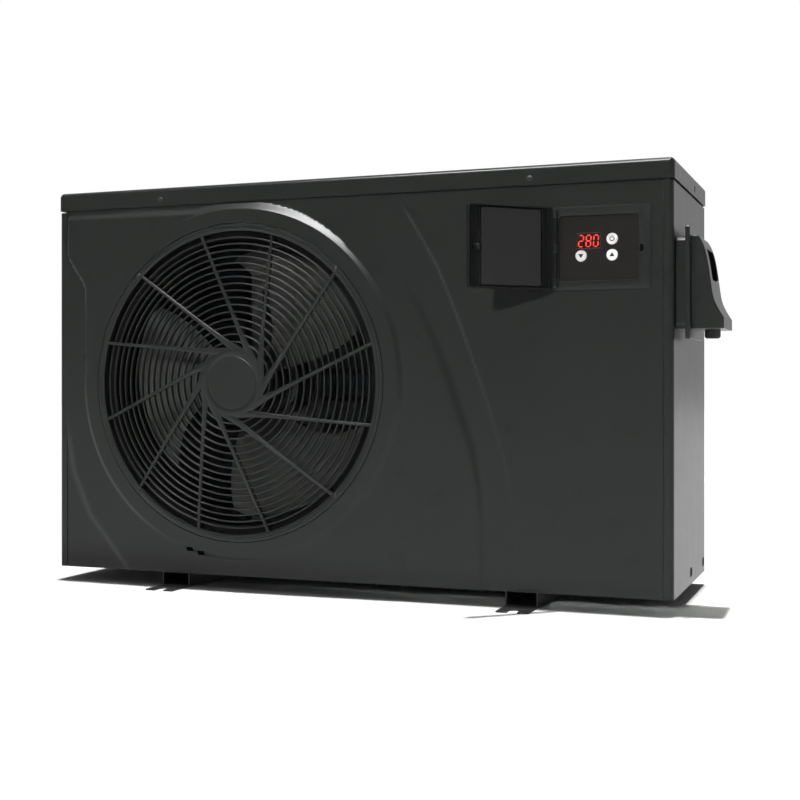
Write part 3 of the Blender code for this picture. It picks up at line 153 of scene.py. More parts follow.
def studio():
    """Bright surroundings behind and above, dimmer ones in front, a key over the front and a top light."""
    bpy.context.scene.view_settings.view_transform = "Standard"
    world = bpy.data.worlds.new("studio")
    bpy.context.scene.world = world
    world.use_nodes = True
    tree = world.node_tree
    tree.nodes.clear()

    def node(kind, values, **settings):
        made = tree.nodes.new(kind)
        for key, value in settings.items():
            setattr(made, key, value)
        for key, value in values.items():
            if isinstance(value, bpy.types.NodeSocket):
                tree.links.new(value, made.inputs[key])
            else:
                made.inputs[key].default_value = value
        return made

    sky = tree.nodes.new("ShaderNodeTexCoord").outputs["Generated"]
    split = node("ShaderNodeSeparateXYZ", {0: sky})
    back = node("ShaderNodeMapRange", {"Value": split.outputs["Y"], "From Min": -0.55, "From Max": 0.70,
                                       "To Min": WORLD_FRONT, "To Max": WORLD_BACK},
                interpolation_type="SMOOTHSTEP")
    above = node("ShaderNodeMapRange", {"Value": split.outputs["Z"], "From Min": 0.35, "From Max": 0.85,
                                        "To Min": 0.0, "To Max": WORLD_TOP}, interpolation_type="SMOOTHSTEP")
    both = node("ShaderNodeMath", {0: back.outputs[0], 1: above.outputs[0]}, operation="ADD")
    seen = tree.nodes.new("ShaderNodeLightPath")
    fill = node("ShaderNodeMix", {"Factor": seen.outputs["Is Diffuse Ray"], "A": both.outputs[0], "B": 0.10})
    strength = node("ShaderNodeMix", {"Factor": seen.outputs["Is Camera Ray"], "A": fill.outputs[0],
                                      "B": 1.0})
    background = node("ShaderNodeBackground", {"Color": (1.0, 1.0, 1.0, 1.0),
                                               "Strength": strength.outputs[0]})
    node("ShaderNodeOutputWorld", {"Surface": background.outputs[0]})
    middle = at(CASE_W / 2, CASE_D / 2, CASE_H / 2)
    strip = area_light("key_strip", at(0.415, -1.05, 2.37), at(FAN.x, 0.0, 0.55), (1.30, 0.34), 120.0)
    strip.visible_diffuse = False
    side = area_light("side_box", middle + Vector((2.2, 2.4, 0.9)), middle, (1.8, 2.2), 9.0)
    side.visible_diffuse = False
    sun_light("top_light", 3.9, 1.5, (math.radians(-1.0), 0.0, 0.0))
    # a parallel beam from the front that ends just above the pan, so the floor under it stays dark
    height, rise, reach = 0.788, math.radians(16.0), 3.0
    target = at(CASE_W / 2, 0.0, 0.012 + height / 2)
    place = target + Vector((-0.11, -math.cos(rise), math.sin(rise))) * reach
    beam = area_light("front_beam", place, target, (1.36, height * math.cos(rise)), 4.7)
    beam.data.spread = math.radians(1.2)
    beam.visible_camera = False
    beam.visible_glossy = False


def floor():
    ground = CAD_BOX[0][2]
    bpy.ops.mesh.primitive_plane_add(size=30.0, location=(0.0, 0.0, ground))
    obj = bpy.context.active_object
    obj.name = "floor"
    bpy.ops.object.transform_apply(location=True, rotation=True, scale=True)
    paper = Finish("floor_paper", (0.86, 0.86, 0.86), 0.9)
    paper.shader.inputs["Specular IOR Level"].default_value = 0.1
    obj.data.materials.append(paper.material)


# ---------------------------------------------------------------- shader building

class Value:
    """A shader socket that takes part in sums, products and comparisons."""

    def __init__(self, finish, socket):
        self.finish = finish
        self.socket = socket

    def _with(self, operation, first, second):
        node = self.finish.node("ShaderNodeMath", {"operation": operation}, {0: first, 1: second})
        return Value(self.finish, node.outputs[0])

    def __add__(self, other):
        return self._with("ADD", self, other)

    def __mul__(self, other):
        return self._with("MULTIPLY", self, other)

    def below(self, other):
        return self._with("LESS_THAN", self, other)


class Finish:
    """A material on Object coordinates, built node by node."""

    def __init__(self, name, colour, roughness, metallic=0.0, **constants):
        self.material = bpy.data.materials.new(name + "_finish")
        self.material.use_nodes = True
        self.tree = self.material.node_tree
        self.shader = self.tree.nodes["Principled BSDF"]
        self.colour = colour
        self.shader.inputs["Base Color"].default_value = (*colour, 1.0)
        self.shader.inputs["Roughness"].default_value = roughness
        self.shader.inputs["Metallic"].default_value = metallic
        for key, value in constants.items():
            self.shader.inputs[key.replace("_", " ")].default_value = value
        self.material.diffuse_color = (*colour, 1.0)
        self._place = None

    def node(self, kind, settings=None, values=None):
        """Make a node; settings first, then its sockets' values or links."""
        made = self.tree.nodes.new(kind)
        for key, value in (settings or {}).items():
            if key == "stops":
                self._stops(made, value)
            else:
                setattr(made, key, value)
        for key, value in (values or {}).items():
            socket = made.inputs[key]
            if isinstance(value, Value):
                self.tree.links.new(value.socket, socket)
            elif isinstance(value, bpy.types.NodeSocket):
                self.tree.links.new(value, socket)
            else:
                socket.default_value = value
        return made

    def _stops(self, ramp, stops):
        elements = ramp.color_ramp.elements
        while len(elements) < len(stops):
            elements.new(0.5)
        for element, (position, shade) in zip(elements, stops):
            element.position = position
            element.color = (shade, shade, shade, 1.0)

    @property
    def place(self):
        if self._place is None:
            self._place = self.node("ShaderNodeTexCoord").outputs["Object"]
        return self._place

    def noise(self, scale, detail=2.0, stretch=None, rough=0.5):
        vector = self.place
        if stretch:
            vector = self.node("ShaderNodeMapping", None, {"Vector": self.place, "Scale": stretch}).outputs[0]
        made = self.node("ShaderNodeTexNoise", None,
                         {"Vector": vector, "Scale": scale, "Detail": detail, "Roughness": rough})
        return Value(self, made.outputs["Fac"])

    def cells(self, scale, feature="F1", output="Distance", randomness=1.0):
        made = self.node("ShaderNodeTexVoronoi", {"feature": feature},
                         {"Vector": self.place, "Scale": scale, "Randomness": randomness})
        return Value(self, made.outputs[output])

    def ramp(self, value, low, high, start=0.0, end=1.0):
        """Value from low..high, mapped to start..end and held there."""
        made = self.node("ShaderNodeMapRange", {"interpolation_type": "SMOOTHSTEP"},
                         {"Value": value, "From Min": low, "From Max": high, "To Min": start, "To Max": end})
        return Value(self, made.outputs["Result"])

    def mix(self, factor, first, second):
        """Mix two colours; each is a tuple or a socket."""
        made = self.node("ShaderNodeMix", {"data_type": "RGBA"}, {"Factor": factor})
        for socket, value in ((made.inputs[6], first), (made.inputs[7], second)):
            if isinstance(value, bpy.types.NodeSocket):
                self.tree.links.new(value, socket)
            else:
                socket.default_value = (*value, 1.0)
        return made.outputs[2]

    def paint(self, colour):
        self.tree.links.new(colour, self.shader.inputs["Base Color"])
        return self

    def rough(self, value):
        self.tree.links.new(value.socket, self.shader.inputs["Roughness"])
        return self

    def bump(self, height, distance, strength=1.0):
        made = self.node("ShaderNodeBump", None, {"Height": height, "Distance": distance,
                                                  "Strength": strength})
        self.tree.links.new(made.outputs[0], self.shader.inputs["Normal"])
        return self


def scaled(colour, factor):
    return tuple(min(1.0, part * factor) for part in colour)


def moulded(name, colour, roughness, grain=0.00006, size=1500.0, gloss=0.5):
    """Moulded plastic: fine spark-eroded grain, slow drift in tone and a little handling haze."""
    made = Finish(name, colour, roughness, Specular_IOR_Level=gloss)
    drift = made.noise(5.0, 3.0)
    fine = made.noise(size, 2.0, rough=0.6)
    haze = made.noise(22.0, 4.0)
    tone = made.mix(made.ramp(drift, 0.3, 0.7), scaled(colour, 0.96), scaled(colour, 1.04))
    made.paint(made.mix(made.ramp(fine, 0.55, 0.75) * 0.25, tone, scaled(colour, 1.5)))
    made.rough(made.ramp(haze, 0.3, 0.7, roughness - 0.008, roughness + 0.012) + fine * 0.03)
    return made.bump(fine, grain, 0.5)


def powder_coat(name, colour):
    """Black powder coat with its orange-peel skin."""
    made = Finish(name, colour, 0.45)
    peel = made.noise(420.0, 2.0)
    dust = made.noise(30.0, 5.0)
    made.paint(made.mix(made.ramp(dust, 0.45, 0.8) * 0.5, colour, scaled(colour, 2.2)))
    made.rough(made.ramp(peel, 0.3, 0.7, 0.38, 0.52))
    return made.bump(peel, 0.0001, 0.6)


def galvanised(name):
    """Zinc-coated sheet with its spangle, made dark overall as painted shade of the unit's dark interior."""
    made = Finish(name, (0.10, 0.10, 0.105), 0.5, 0.9)
    spangle = made.cells(90.0, output="Color")
    streak = made.noise(60.0, 3.0, stretch=(1.0, 1.0, 0.15))
    tone = made.mix(made.ramp(spangle, 0.1, 0.9), (0.075, 0.077, 0.080), (0.13, 0.132, 0.135))
    made.paint(made.mix(made.ramp(streak, 0.5, 0.8) * 0.4, tone, (0.065, 0.067, 0.070)))
    made.rough(made.ramp(spangle, 0.0, 1.0, 0.28, 0.48))
    return made.bump(streak, 0.00005, 0.4)


def drawn_metal(name, colour, dull, roughness=0.28, size=40.0):
    """Bare tube or turned metal that has dulled in patches, with fine drawing lines."""
    made = Finish(name, colour, roughness, 1.0)
    stain = made.noise(size, 5.0)
    lines = made.noise(900.0, 2.0, stretch=(1.0, 1.0, 0.04))
    made.paint(made.mix(made.ramp(stain, 0.35, 0.75), colour, dull))
    made.rough(made.ramp(stain, 0.3, 0.8, roughness - 0.06, roughness + 0.16))
    return made.bump(lines, 0.00002, 0.4)


def rubber(name, colour):
    made = Finish(name, colour, 0.8)
    fine = made.noise(900.0, 3.0)
    bloom = made.noise(45.0, 4.0)
    made.paint(made.mix(made.ramp(bloom, 0.4, 0.8) * 0.6, colour, scaled(colour, 2.4)))
    made.rough(made.ramp(bloom, 0.3, 0.7, 0.70, 0.90))
    return made.bump(fine, 0.0001, 0.5)


def enamel(name, colour):
    """Gloss black enamel over a drawn steel shell."""
    made = Finish(name, colour, 0.3, 0.1, Coat_Weight=0.4)
    ripple = made.noise(60.0, 2.0)
    dust = made.noise(18.0, 5.0)
    made.paint(made.mix(made.ramp(dust, 0.5, 0.85) * 0.4, colour, (0.07, 0.068, 0.065)))
    made.rough(made.ramp(dust, 0.3, 0.8, 0.22, 0.5))
    return made.bump(ripple, 0.0002, 0.3)


def circuit(name):
    """Green solder mask with its copper traces under it and bright pads."""
    made = Finish(name, (0.02, 0.12, 0.05), 0.35)
    traces = made.cells(170.0, feature="DISTANCE_TO_EDGE", randomness=0.35)
    pads = made.cells(230.0, randomness=0.2)
    line = made.ramp(traces, 0.02, 0.05, 1.0, 0.0)
    tone = made.mix(line, (0.014, 0.085, 0.036), (0.035, 0.20, 0.075))
    made.paint(made.mix(pads.below(0.16), tone, (0.55, 0.50, 0.38)))
    made.rough(made.ramp(pads, 0.1, 0.3, 0.25, 0.42))
    return made.bump(line, 0.00004, 0.5)


def fin_stack(name):
    """Fins with a blue corrosion-proof coat, kept very dark as painted shade of the unit's dark interior:
    greyer dust in patches, small dents.
    """
    made = Finish(name, (0.012, 0.022, 0.060), 0.42, 0.2)
    dents = made.noise(60.0, 4.0, stretch=(1.0, 1.0, 0.35))
    tone = made.mix(made.ramp(dents, 0.35, 0.7), (0.012, 0.022, 0.060), (0.022, 0.026, 0.036))
    made.paint(tone)
    made.rough(made.ramp(dents, 0.3, 0.7, 0.30, 0.50))
    return made.bump(dents, 0.0003, 0.4)


FINISHES = {}


def finishes():
    FINISHES.update({
        "panel_charcoal": moulded("panel_charcoal", (0.0105, 0.0117, 0.0108), 0.27, gloss=0.24),
        # the fan shroud's near-black is painted shade of the dark space behind the grille, not its own colour
        "shroud_black": moulded("shroud_black", (0.0030, 0.0030, 0.0030), 0.60, gloss=0.08),
        # door_shadow is a darker copy of the panel plastic, painted shade of the door's channels, rim and
        # knuckles; the liner's finish is a lighter copy, painted light
        "door_shadow": moulded("door_shadow", (0.0055, 0.0060, 0.0056), 0.45, 0.00003, gloss=0.15),
        "door_inside": moulded("door_inside", (0.0125, 0.0131, 0.0124), 0.30, 0.00003, gloss=0.26),
        "moulding_dark": moulded("moulding_dark", (0.0105, 0.0117, 0.0108), 0.32, gloss=0.24),
        "steel_black": powder_coat("steel_black", (0.010, 0.010, 0.0105)),
        "galvanised_steel": galvanised("galvanised_steel"),
        # copper_pipe's colours are far darker than clean copper: painted shade of the unit's dark interior
        "copper_pipe": drawn_metal("copper_pipe", (0.34, 0.155, 0.085), (0.12, 0.060, 0.040)),
        "brass_valve": drawn_metal("brass_valve", (0.68, 0.52, 0.24), (0.42, 0.31, 0.15), 0.32),
        "fin_aluminium": fin_stack("fin_aluminium"),
        "screw_black": powder_coat("screw_black", (0.006, 0.006, 0.006)),
        "fan_plastic": moulded("fan_plastic", (0.025, 0.0265, 0.025), 0.50, gloss=0.15),
        "rubber_black": rubber("rubber_black", (0.016, 0.016, 0.016)),
        "enamel_black": enamel("enamel_black", (0.018, 0.018, 0.019)),
        "water_plastic": moulded("water_plastic", (0.17, 0.18, 0.19), 0.38),
        "circuit_board": circuit("circuit_board"),
        "display_plate": moulded("display_plate", (0.0082, 0.0078, 0.0068), 0.30, 0.00002, 900.0, gloss=0.22),
        "button_white": moulded("button_white", (0.52, 0.52, 0.515), 0.40, 0.00002),
        "button_mark": moulded("button_mark", (0.006, 0.006, 0.006), 0.55, 0.00001, gloss=0.1),
        "bright_steel": drawn_metal("bright_steel", (0.58, 0.58, 0.59), (0.38, 0.38, 0.39), 0.24, 120.0),
        "lens_red": moulded("lens_red", (0.020, 0.004, 0.003), 0.18, 0.00001),
    })
    lit = Finish("segment_lit", (0.9, 0.04, 0.02), 0.4)
    lit.shader.inputs["Emission Color"].default_value = (1.0, 0.050, 0.060, 1.0)
    lit.shader.inputs["Emission Strength"].default_value = 0.6
    glow = lit.noise(900.0, 2.0)
    lit.paint(lit.mix(lit.ramp(glow, 0.3, 0.7), (0.85, 0.03, 0.015), (0.95, 0.06, 0.03)))
    FINISHES["segment_lit"] = lit


# ---------------------------------------------------------------- modelling

def only(obj):
    """Make obj the one selected and active object."""
    bpy.ops.object.select_all(action="DESELECT")
    obj.select_set(True)
    bpy.context.view_layer.objects.active = obj
    return obj


def settle(obj):
    """Put an object's place, turn and size into its mesh."""
    only(obj)
    bpy.ops.object.transform_apply(location=True, rotation=True, scale=True)
    return obj


def cube(name, low, high):
    """A box between two corners in casing coordinates."""
    low, high = at(*low), at(*high)
    bpy.ops.object.select_all(action="DESELECT")
    bpy.ops.mesh.primitive_cube_add(size=1.0, location=(low + high) / 2, scale=high - low)
    obj = bpy.context.active_object
    obj.name = name
    return settle(obj)


AXIS_TURN = {"X": (0.0, math.pi / 2, 0.0), "Y": (-math.pi / 2, 0.0, 0.0), "Z": (0.0, 0.0, 0.0)}


def cylinder(name, radius, start, end, axis="Z", vertices=48):
    """A closed cylinder from start to end, both points of one axis line."""
    start, end = at(*start), at(*end)
    bpy.ops.object.select_all(action="DESELECT")
    bpy.ops.mesh.primitive_cone_add(vertices=vertices, radius1=radius, radius2=radius,
                                    depth=(end - start).length,
                                    location=(start + end) / 2, rotation=AXIS_TURN[axis])
    obj = bpy.context.active_object
    obj.name = name
    return settle(obj)


def enter(obj, kind="FACE"):
    only(obj)
    bpy.ops.object.mode_set(mode="EDIT")
    bpy.ops.mesh.select_mode(type=kind)
    bpy.ops.mesh.select_all(action="DESELECT")
    return bmesh.from_edit_mesh(obj.data)


def leave():
    bpy.ops.object.mode_set(mode="OBJECT")


def pick(obj, kind, test):
    """Enter edit mode with the faces or edges that pass the test selected."""
    bm = enter(obj, kind)
    found = 0
    for part in (bm.faces if kind == "FACE" else bm.edges):
        if test(part):
            part.select_set(True)
            found += 1
    bmesh.update_edit_mesh(obj.data)
    return found


def middle_of(edge):
    return (edge.verts[0].co + edge.verts[1].co) / 2 - CORNER


def bevel_edges(obj, width, segments, test):
    """Round the edges that pass the test."""
    if pick(obj, "EDGE", test):
        bpy.ops.mesh.bevel(offset=width, offset_type="OFFSET", segments=segments, profile=0.5,
                           affect="EDGES", clamp_overlap=True)
    leave()
    return obj


def sharp():
    """A test for edges that turn by more than 30 degrees."""
    limit = math.radians(30.0)
    return lambda edge: len(edge.link_faces) == 2 and edge.calc_face_angle(0.0) > limit


def along(axis):
    """A test for sharp edges that run along one axis."""
    turned = sharp()

    def test(edge):
        run = edge.verts[1].co - edge.verts[0].co
        return abs(run[axis]) > 0.995 * run.length and turned(edge)
    return test


def apply_modifier(obj, kind, **settings):
    only(obj)
    step = obj.modifiers.new(kind.lower(), kind)
    for key, value in settings.items():
        setattr(step, key, value)
    bpy.ops.object.modifier_apply(modifier=step.name)
    return obj


def cut(obj, *tools, operation="DIFFERENCE"):
    """Take the tools' shapes out of obj, or join them to it, and drop them."""
    for other in tools:
        apply_modifier(obj, "BOOLEAN", operation=operation, solver="EXACT", object=other)
        bpy.data.objects.remove(other)
    return obj


def join(name, objs):
    """Join several meshes into one object."""
    bpy.ops.object.select_all(action="DESELECT")
    for obj in objs:
        obj.select_set(True)
    bpy.context.view_layer.objects.active = objs[0]
    if len(objs) > 1:
        bpy.ops.object.join()
    objs[0].name = name
    return objs[0]


def outward(obj):
    """Turn the faces of a closed shape outward."""
    enter(obj)
    bpy.ops.mesh.select_all(action="SELECT")
    bpy.ops.mesh.normals_make_consistent(inside=False)
    leave()
    return obj


def shade(obj, angle=35.0):
    only(obj)
    bpy.ops.object.shade_smooth_by_angle(angle=math.radians(angle))
    return obj


def ease(obj, width=0.0006, segments=2, angle=40.0):
    """Round every sharp edge a little and let the flat faces keep their shading."""
    apply_modifier(obj, "BEVEL", width=width, segments=segments, limit_method="ANGLE",
                   angle_limit=math.radians(angle), miter_outer="MITER_ARC", harden_normals=False)
    shade(obj, 60.0)
    return apply_modifier(obj, "WEIGHTED_NORMAL", keep_sharp=True, weight=50)


def copy_of(obj, name):
    made = obj.copy()
    made.data = obj.data.copy()
    made.name = name
    bpy.context.scene.collection.objects.link(made)
    return made


def moved(obj, offset):
    obj.location = Vector(offset)
    return settle(obj)


def turned(obj, axis, degrees, centre):
    """Turn an object about a line through centre, a point in casing coordinates."""
    pivot = at(*centre)
    matrix = Matrix.Translation(pivot) @ Matrix.Rotation(math.radians(degrees), 4, axis)
    obj.matrix_world = matrix @ Matrix.Translation(-pivot)
    return settle(obj)


def shape(name, verts, faces):
    """A mesh from points in casing coordinates and faces over them."""
    mesh = bpy.data.meshes.new(name)
    mesh.from_pydata([at(*v) for v in verts], [], faces)
    obj = bpy.data.objects.new(name, mesh)
    bpy.context.scene.collection.objects.link(obj)
    return obj


def prism(name, outline, axis, start, end):
    """A flat outline pushed from start to end along an axis."""
    place = {"X": lambda a, b, c: (c, a, b), "Y": lambda a, b, c: (a, c, b), "Z": lambda a, b,
             c: (a, b, c)}[axis]
    obj = shape(name, [place(a, b, start) for a, b in outline], [list(range(len(outline)))])
    bpy.context.view_layer.update()
    enter(obj)
    bpy.ops.mesh.select_all(action="SELECT")
    push = Vector(place(0.0, 0.0, end - start))
    bpy.ops.mesh.extrude_region_move(TRANSFORM_OT_translate={"value": push})
    leave()
    return outward(obj)


def spun(name, profile, axis, centre, steps=96):
    """A profile of (radius, distance along the axis) spun round a line through centre."""
    place = {"X": lambda r, c: (c, centre[0] + r, centre[1]), "Y": lambda r, c: (centre[0] + r, c, centre[1]),
             "Z": lambda r, c: (centre[0] + r, centre[1], c)}[axis]
    hub = {"X": (0.0, centre[0], centre[1]), "Y": (centre[0], 0.0, centre[1]),
           "Z": (centre[0], centre[1], 0.0)}[axis]
    way = {"X": (1.0, 0.0, 0.0), "Y": (0.0, 1.0, 0.0), "Z": (0.0, 0.0, 1.0)}[axis]
    obj = shape(name, [place(r, c) for r, c in profile], [])
    bm = enter(obj, "VERT")
    bm.verts.ensure_lookup_table()
    for i in range(len(profile) - 1):
        bm.edges.new((bm.verts[i], bm.verts[i + 1]))
    closed = profile[0][0] > 1e-6 and profile[-1][0] > 1e-6
    if closed:
        bm.edges.new((bm.verts[len(profile) - 1], bm.verts[0]))
    bmesh.update_edit_mesh(obj.data)
    bpy.ops.mesh.select_all(action="SELECT")
    bpy.ops.mesh.spin(steps=steps, angle=2 * math.pi, center=at(*hub), axis=way)
    bpy.ops.mesh.select_all(action="SELECT")
    bpy.ops.mesh.remove_doubles(threshold=0.000004)
    bpy.ops.mesh.normals_make_consistent(inside=False)
    leave()
    return obj


def rounded(low, high, radius, steps=6):
    """Corner-rounded rectangle between two corners, as points."""
    points = []
    corners = ((high[0], high[1], 0), (low[0], high[1], 90), (low[0], low[1], 180), (high[0], low[1], 270))
    for x, y, first in corners:
        cx = x - radius if x == high[0] else x + radius
        cy = y - radius if y == high[1] else y + radius
        for i in range(steps + 1):
            angle = math.radians(first + 90.0 * i / steps)
            points.append((cx + radius * math.cos(angle), cy + radius * math.sin(angle)))
    return points


def place_piece(obj, name, body, slot, finish=None, replaces=()):
    """Name a finished piece, give it its material, and put it on its body."""
    obj.name = name
    obj.data.name = name
    obj.data.materials.clear()
    obj.data.materials.append(FINISHES[finish or slot].material)
    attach(obj, body)
    if replaces:
        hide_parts(*replaces)
    return obj


# ---------------------------------------------------------------- front panel

GRILLE_LOW, GRILLE_HIGH = local_box("fan_grille")
FAN = Vector(((GRILLE_LOW.x + GRILLE_HIGH.x) / 2, 0.0, (GRILLE_LOW.z + GRILLE_HIGH.z) / 2))
GRILLE_R = (GRILLE_HIGH.x - GRILLE_LOW.x) / 2
OPENING_R = GRILLE_R + 0.001
PANEL_LOW, PANEL_HIGH = local_box("right_panel")
PANEL_TOP = local_box("rear_panel")[1].z
FACE = PANEL_LOW.y
RISE = 0.008
BAND_IN, BAND_OUT = OPENING_R + 0.0205, OPENING_R + 0.0355
RING_OUT = OPENING_R + 0.030
SIDE_FOLD = 0.0158

# Courses of the moulded steps, as (height, distance from the left edge)
RIGHT_STEP = ((0.0, 0.724), (0.099, 0.724), (0.146, 0.720), (0.200, 0.710), (0.261, 0.690), (0.336, 0.663),
              (0.410, 0.629), (0.478, 0.588), (0.552, 0.547), (0.580, 0.528))
LEAF_CREASE = ((0.0, 0.775), (0.099, 0.771), (0.167, 0.764), (0.270, 0.733), (0.370, 0.697), (0.424, 0.676),
               (0.471, 0.656), (0.518, 0.629), (0.559, 0.604), (0.580, 0.590))
LEFT_STEP = ((0.0, 0.131), (0.011, 0.125), (0.031, 0.108), (0.086, 0.061), (0.153, 0.031), (0.234, 0.014),
             (0.300, -0.010), (0.580, -0.060))
CORNER_EDGE = ((0.0, 0.053), (0.450, 0.053), (0.464, 0.048), (0.478, 0.037), (0.505, 0.020), (0.580, 0.019))


def course(points, z):
    heights, distances = zip(*points)
    return np.interp(z, heights, distances)


def soft(low, high, value):
    """0 below low, 1 above high, smooth between."""
    t = np.clip((value - low) / (high - low), 0.0, 1.0)
    return t * t * t * (t * (6.0 * t - 15.0) + 10.0)


def chamfer(low, high, value):
    """A straight slope from 0 at low to 1 at high, eased in and out at its ends."""
    ease = 0.0022
    start = np.clip(value - (low - ease / 2), 0.0, ease)
    end = np.clip(value - (high - ease / 2), 0.0, ease)
    run = np.clip(value - (low + ease / 2), 0.0, None) - np.clip(value - (high + ease / 2), 0.0, None)
    area = start ** 2 / (2 * ease) + run - end ** 2 / (2 * ease)
    return np.clip(area / (high - low), 0.0, 1.0)


def relief(x, z):
    """How far the moulded front stands ahead of its flat plane."""
    x, z = np.asarray(x, float), np.asarray(z, float)
    radius = np.hypot(x - FAN.x, z - FAN.z)
    surround = RISE * (1.0 - chamfer(BAND_IN + 0.0010, BAND_OUT - 0.0012, radius))
    edge = course(CORNER_EDGE, z)
    width = np.interp(z, (0.0, 0.46, 0.51, 0.58), (0.007, 0.007, 0.0025, 0.0025))
    corner = (RISE - 0.003 * soft(0.28, 0.42, radius)) * soft(edge - width, edge + width, x)
    corner *= (1.0 - soft(0.562, 0.576, z)) * soft(0.290, 0.340, z) * (1.0 - soft(0.20, 0.34, x))
    right = course(RIGHT_STEP, z)
    band = np.interp(z, (0.0, 0.12, 0.25, 0.45, 0.56), (0.005, 0.006, 0.010, 0.010, 0.004))
    height = np.interp(z, (0.0, 0.15, 0.40, 0.50, 0.565), (0.0036, 0.0036, 0.0042, 0.0030, 0.0))
    left = course(LEFT_STEP, z)
    middle = height * (1.0 - soft(right - band, right + band, x)) * soft(left - 0.011, left + 0.011, x)
    crease = course(LEAF_CREASE, z)
    reach = np.clip((0.566 - z) * 1.45, 0.006, 0.095)
    past = np.clip((x - crease) / reach, 0.0, 1.0)
    swell = np.interp(z, (0.0, 0.10, 0.30, 0.50, 0.555, 0.57), (0.0010, 0.0012, 0.0016, 0.0034, 0.0016, 0.0))
    leaf = swell * soft(-0.003, 0.003, x - crease) * (1.0 - past) ** 2
    toe = 0.0014 * (1.0 - soft(0.0, 0.005, z)) ** 2
    return np.maximum(np.maximum(surround, corner), middle) + leaf - toe


def relief_normals(x, z):
    step = 0.0004
    dx = (relief(x + step, z) - relief(x - step, z)) / (2 * step)
    dz = (relief(x, z + step) - relief(x, z - step)) / (2 * step)
    normals = np.stack([-dx, -np.ones_like(dx), -dz], axis=1)
    return normals / np.linalg.norm(normals, axis=1)[:, None]


def move_front(obj):
    """Push the front skin of a flat panel out to the moulded shape."""
    mesh = obj.data
    points = np.zeros(len(mesh.vertices) * 3)
    mesh.vertices.foreach_get("co", points)
    points = points.reshape(-1, 3) - np.array(CORNER)
    skin = np.abs(points[:, 1] - FACE) < 1e-5
    points[skin, 1] -= relief(points[skin, 0], points[skin, 2])
    mesh.vertices.foreach_set("co", (points + np.array(CORNER)).ravel())
    mesh.update()
    return skin


def true_normals(obj, skin):
    """Shade the moulded skin by its own slope, and every other face flat."""
    mesh = obj.data
    points = np.zeros(len(mesh.vertices) * 3)
    mesh.vertices.foreach_get("co", points)
    points = points.reshape(-1, 3) - np.array(CORNER)
    owner = np.zeros(len(mesh.loops), int)
    mesh.loops.foreach_get("vertex_index", owner)
    normals = np.zeros((len(mesh.loops), 3))
    for face in mesh.polygons:
        normals[face.loop_start:face.loop_start + face.loop_total] = face.normal[:]
    starts = np.array([face.loop_start for face in mesh.polygons])
    totals = np.array([face.loop_total for face in mesh.polygons])
    on_skin = np.add.reduceat(skin[owner].astype(int), starts) == totals
    loops = np.repeat(on_skin, totals)
    normals[loops] = relief_normals(points[owner[loops], 0], points[owner[loops], 2])
    only(obj)
    bpy.ops.object.shade_smooth()
    mesh.normals_split_custom_set(normals.tolist())


def fan_ring():
    """The part of the front round the fan's hole, in rings so that its band stays round."""
    steps = 12
    profile = [(OPENING_R + (RING_OUT - OPENING_R) * i / steps, FACE) for i in range(steps + 1)]
    profile += [(RING_OUT, FACE + 0.0025), (OPENING_R, FACE + 0.0025)]
    return spun("fan_ring", profile, "Y", (FAN.x, FAN.z), 288)


def front_panel():
    left, right = local_box("left_panel")[0].x - FIT + SIDE_FOLD, CASE_W - SIDE_FOLD
    columns, rows = 286, 170
    bpy.ops.object.select_all(action="DESELECT")
    bpy.ops.mesh.primitive_grid_add(x_subdivisions=columns, y_subdivisions=rows, size=1.0,
                                    rotation=(math.pi / 2, 0.0, 0.0))
    sheet = bpy.context.active_object
    sheet.scale = (right - left, PANEL_TOP, 1.0)
    sheet.location = at((left + right) / 2, FACE, PANEL_TOP / 2)
    settle(sheet)
    apply_modifier(sheet, "SOLIDIFY", thickness=WALL, offset=-1.0)
    frame_low, frame_high = local_box("control_frame")
    window = cube("window", (frame_low.x + 0.0075, -0.03, frame_low.z + 0.0095),
                  (frame_high.x - 0.0038, 0.03, frame_high.z - 0.0095))
    hole = cylinder("hole", RING_OUT, (FAN.x, -0.03, FAN.z), (FAN.x, 0.03, FAN.z), "Y", 288)
    cut(sheet, join("front_cutters", [window, hole]))
    skins = []
    for part in (sheet, fan_ring()):
        slots = [cube("slot", (x, -0.03, z), (x + 0.012, 0.03, z + 0.007))
                 for x, z in ((FAN.x - 0.086, 0.0355), (FAN.x - 0.066, 0.0300))]
        cut(part, join("slots", slots))
        skin = move_front(part)
        true_normals(part, skin)
        skins.append(part)
    tab = cube("tab", (left, FACE + 0.0040, PANEL_TOP - 0.004), (right, FACE + 0.0065, PANEL_TOP + 0.018))
    throat = spun("throat", [(OPENING_R, FACE + 0.002), (OPENING_R + 0.0025, FACE + 0.002),
                             (OPENING_R + 0.0025, 0.0038), (OPENING_R, 0.0038)], "Y", (FAN.x, FAN.z), 144)
    shade(throat, 30.0)
    place_piece(join("front_panel", skins + [tab, throat]), "front_panel_skin", "root", "panel_charcoal",
                replaces=("front_panel",))


# ---------------------------------------------------------------- side panels, cover, pan and rear

LOUVRES = [(0.050 + column * 0.114, 0.060 + row * 0.048) for row in range(10) for column in range(2)]
SIDE_PLUGS = ((0.166, 0.018), (0.298, 0.0165))


def fold_section(side, wall):
    """A side panel's section, its outer skin and then its inner one."""
    corner = 0.006
    wrap, y0, y1 = 0.0155, FACE, CASE_D - FACE
    outer = [(wrap, y0)]
    for i in range(9):
        angle = math.radians(90 + 90 * i / 8)
        outer.append((FACE + corner + corner * math.cos(angle), y0 + corner - corner * math.sin(angle)))
    outer += [(x, y0 + y1 - y) for x, y in reversed(outer)]
    inner_r = corner - wall
    inner = [(wrap, y0 + wall)]
    for i in range(9):
        angle = math.radians(90 + 90 * i / 8)
        inner.append((FACE + corner + inner_r * math.cos(angle), y0 + corner - inner_r * math.sin(angle)))
    inner += [(x, y0 + y1 - y) for x, y in reversed(inner)]
    section = outer + list(reversed(inner))
    return section if side < 0 else [(CASE_W - x, y) for x, y in section]


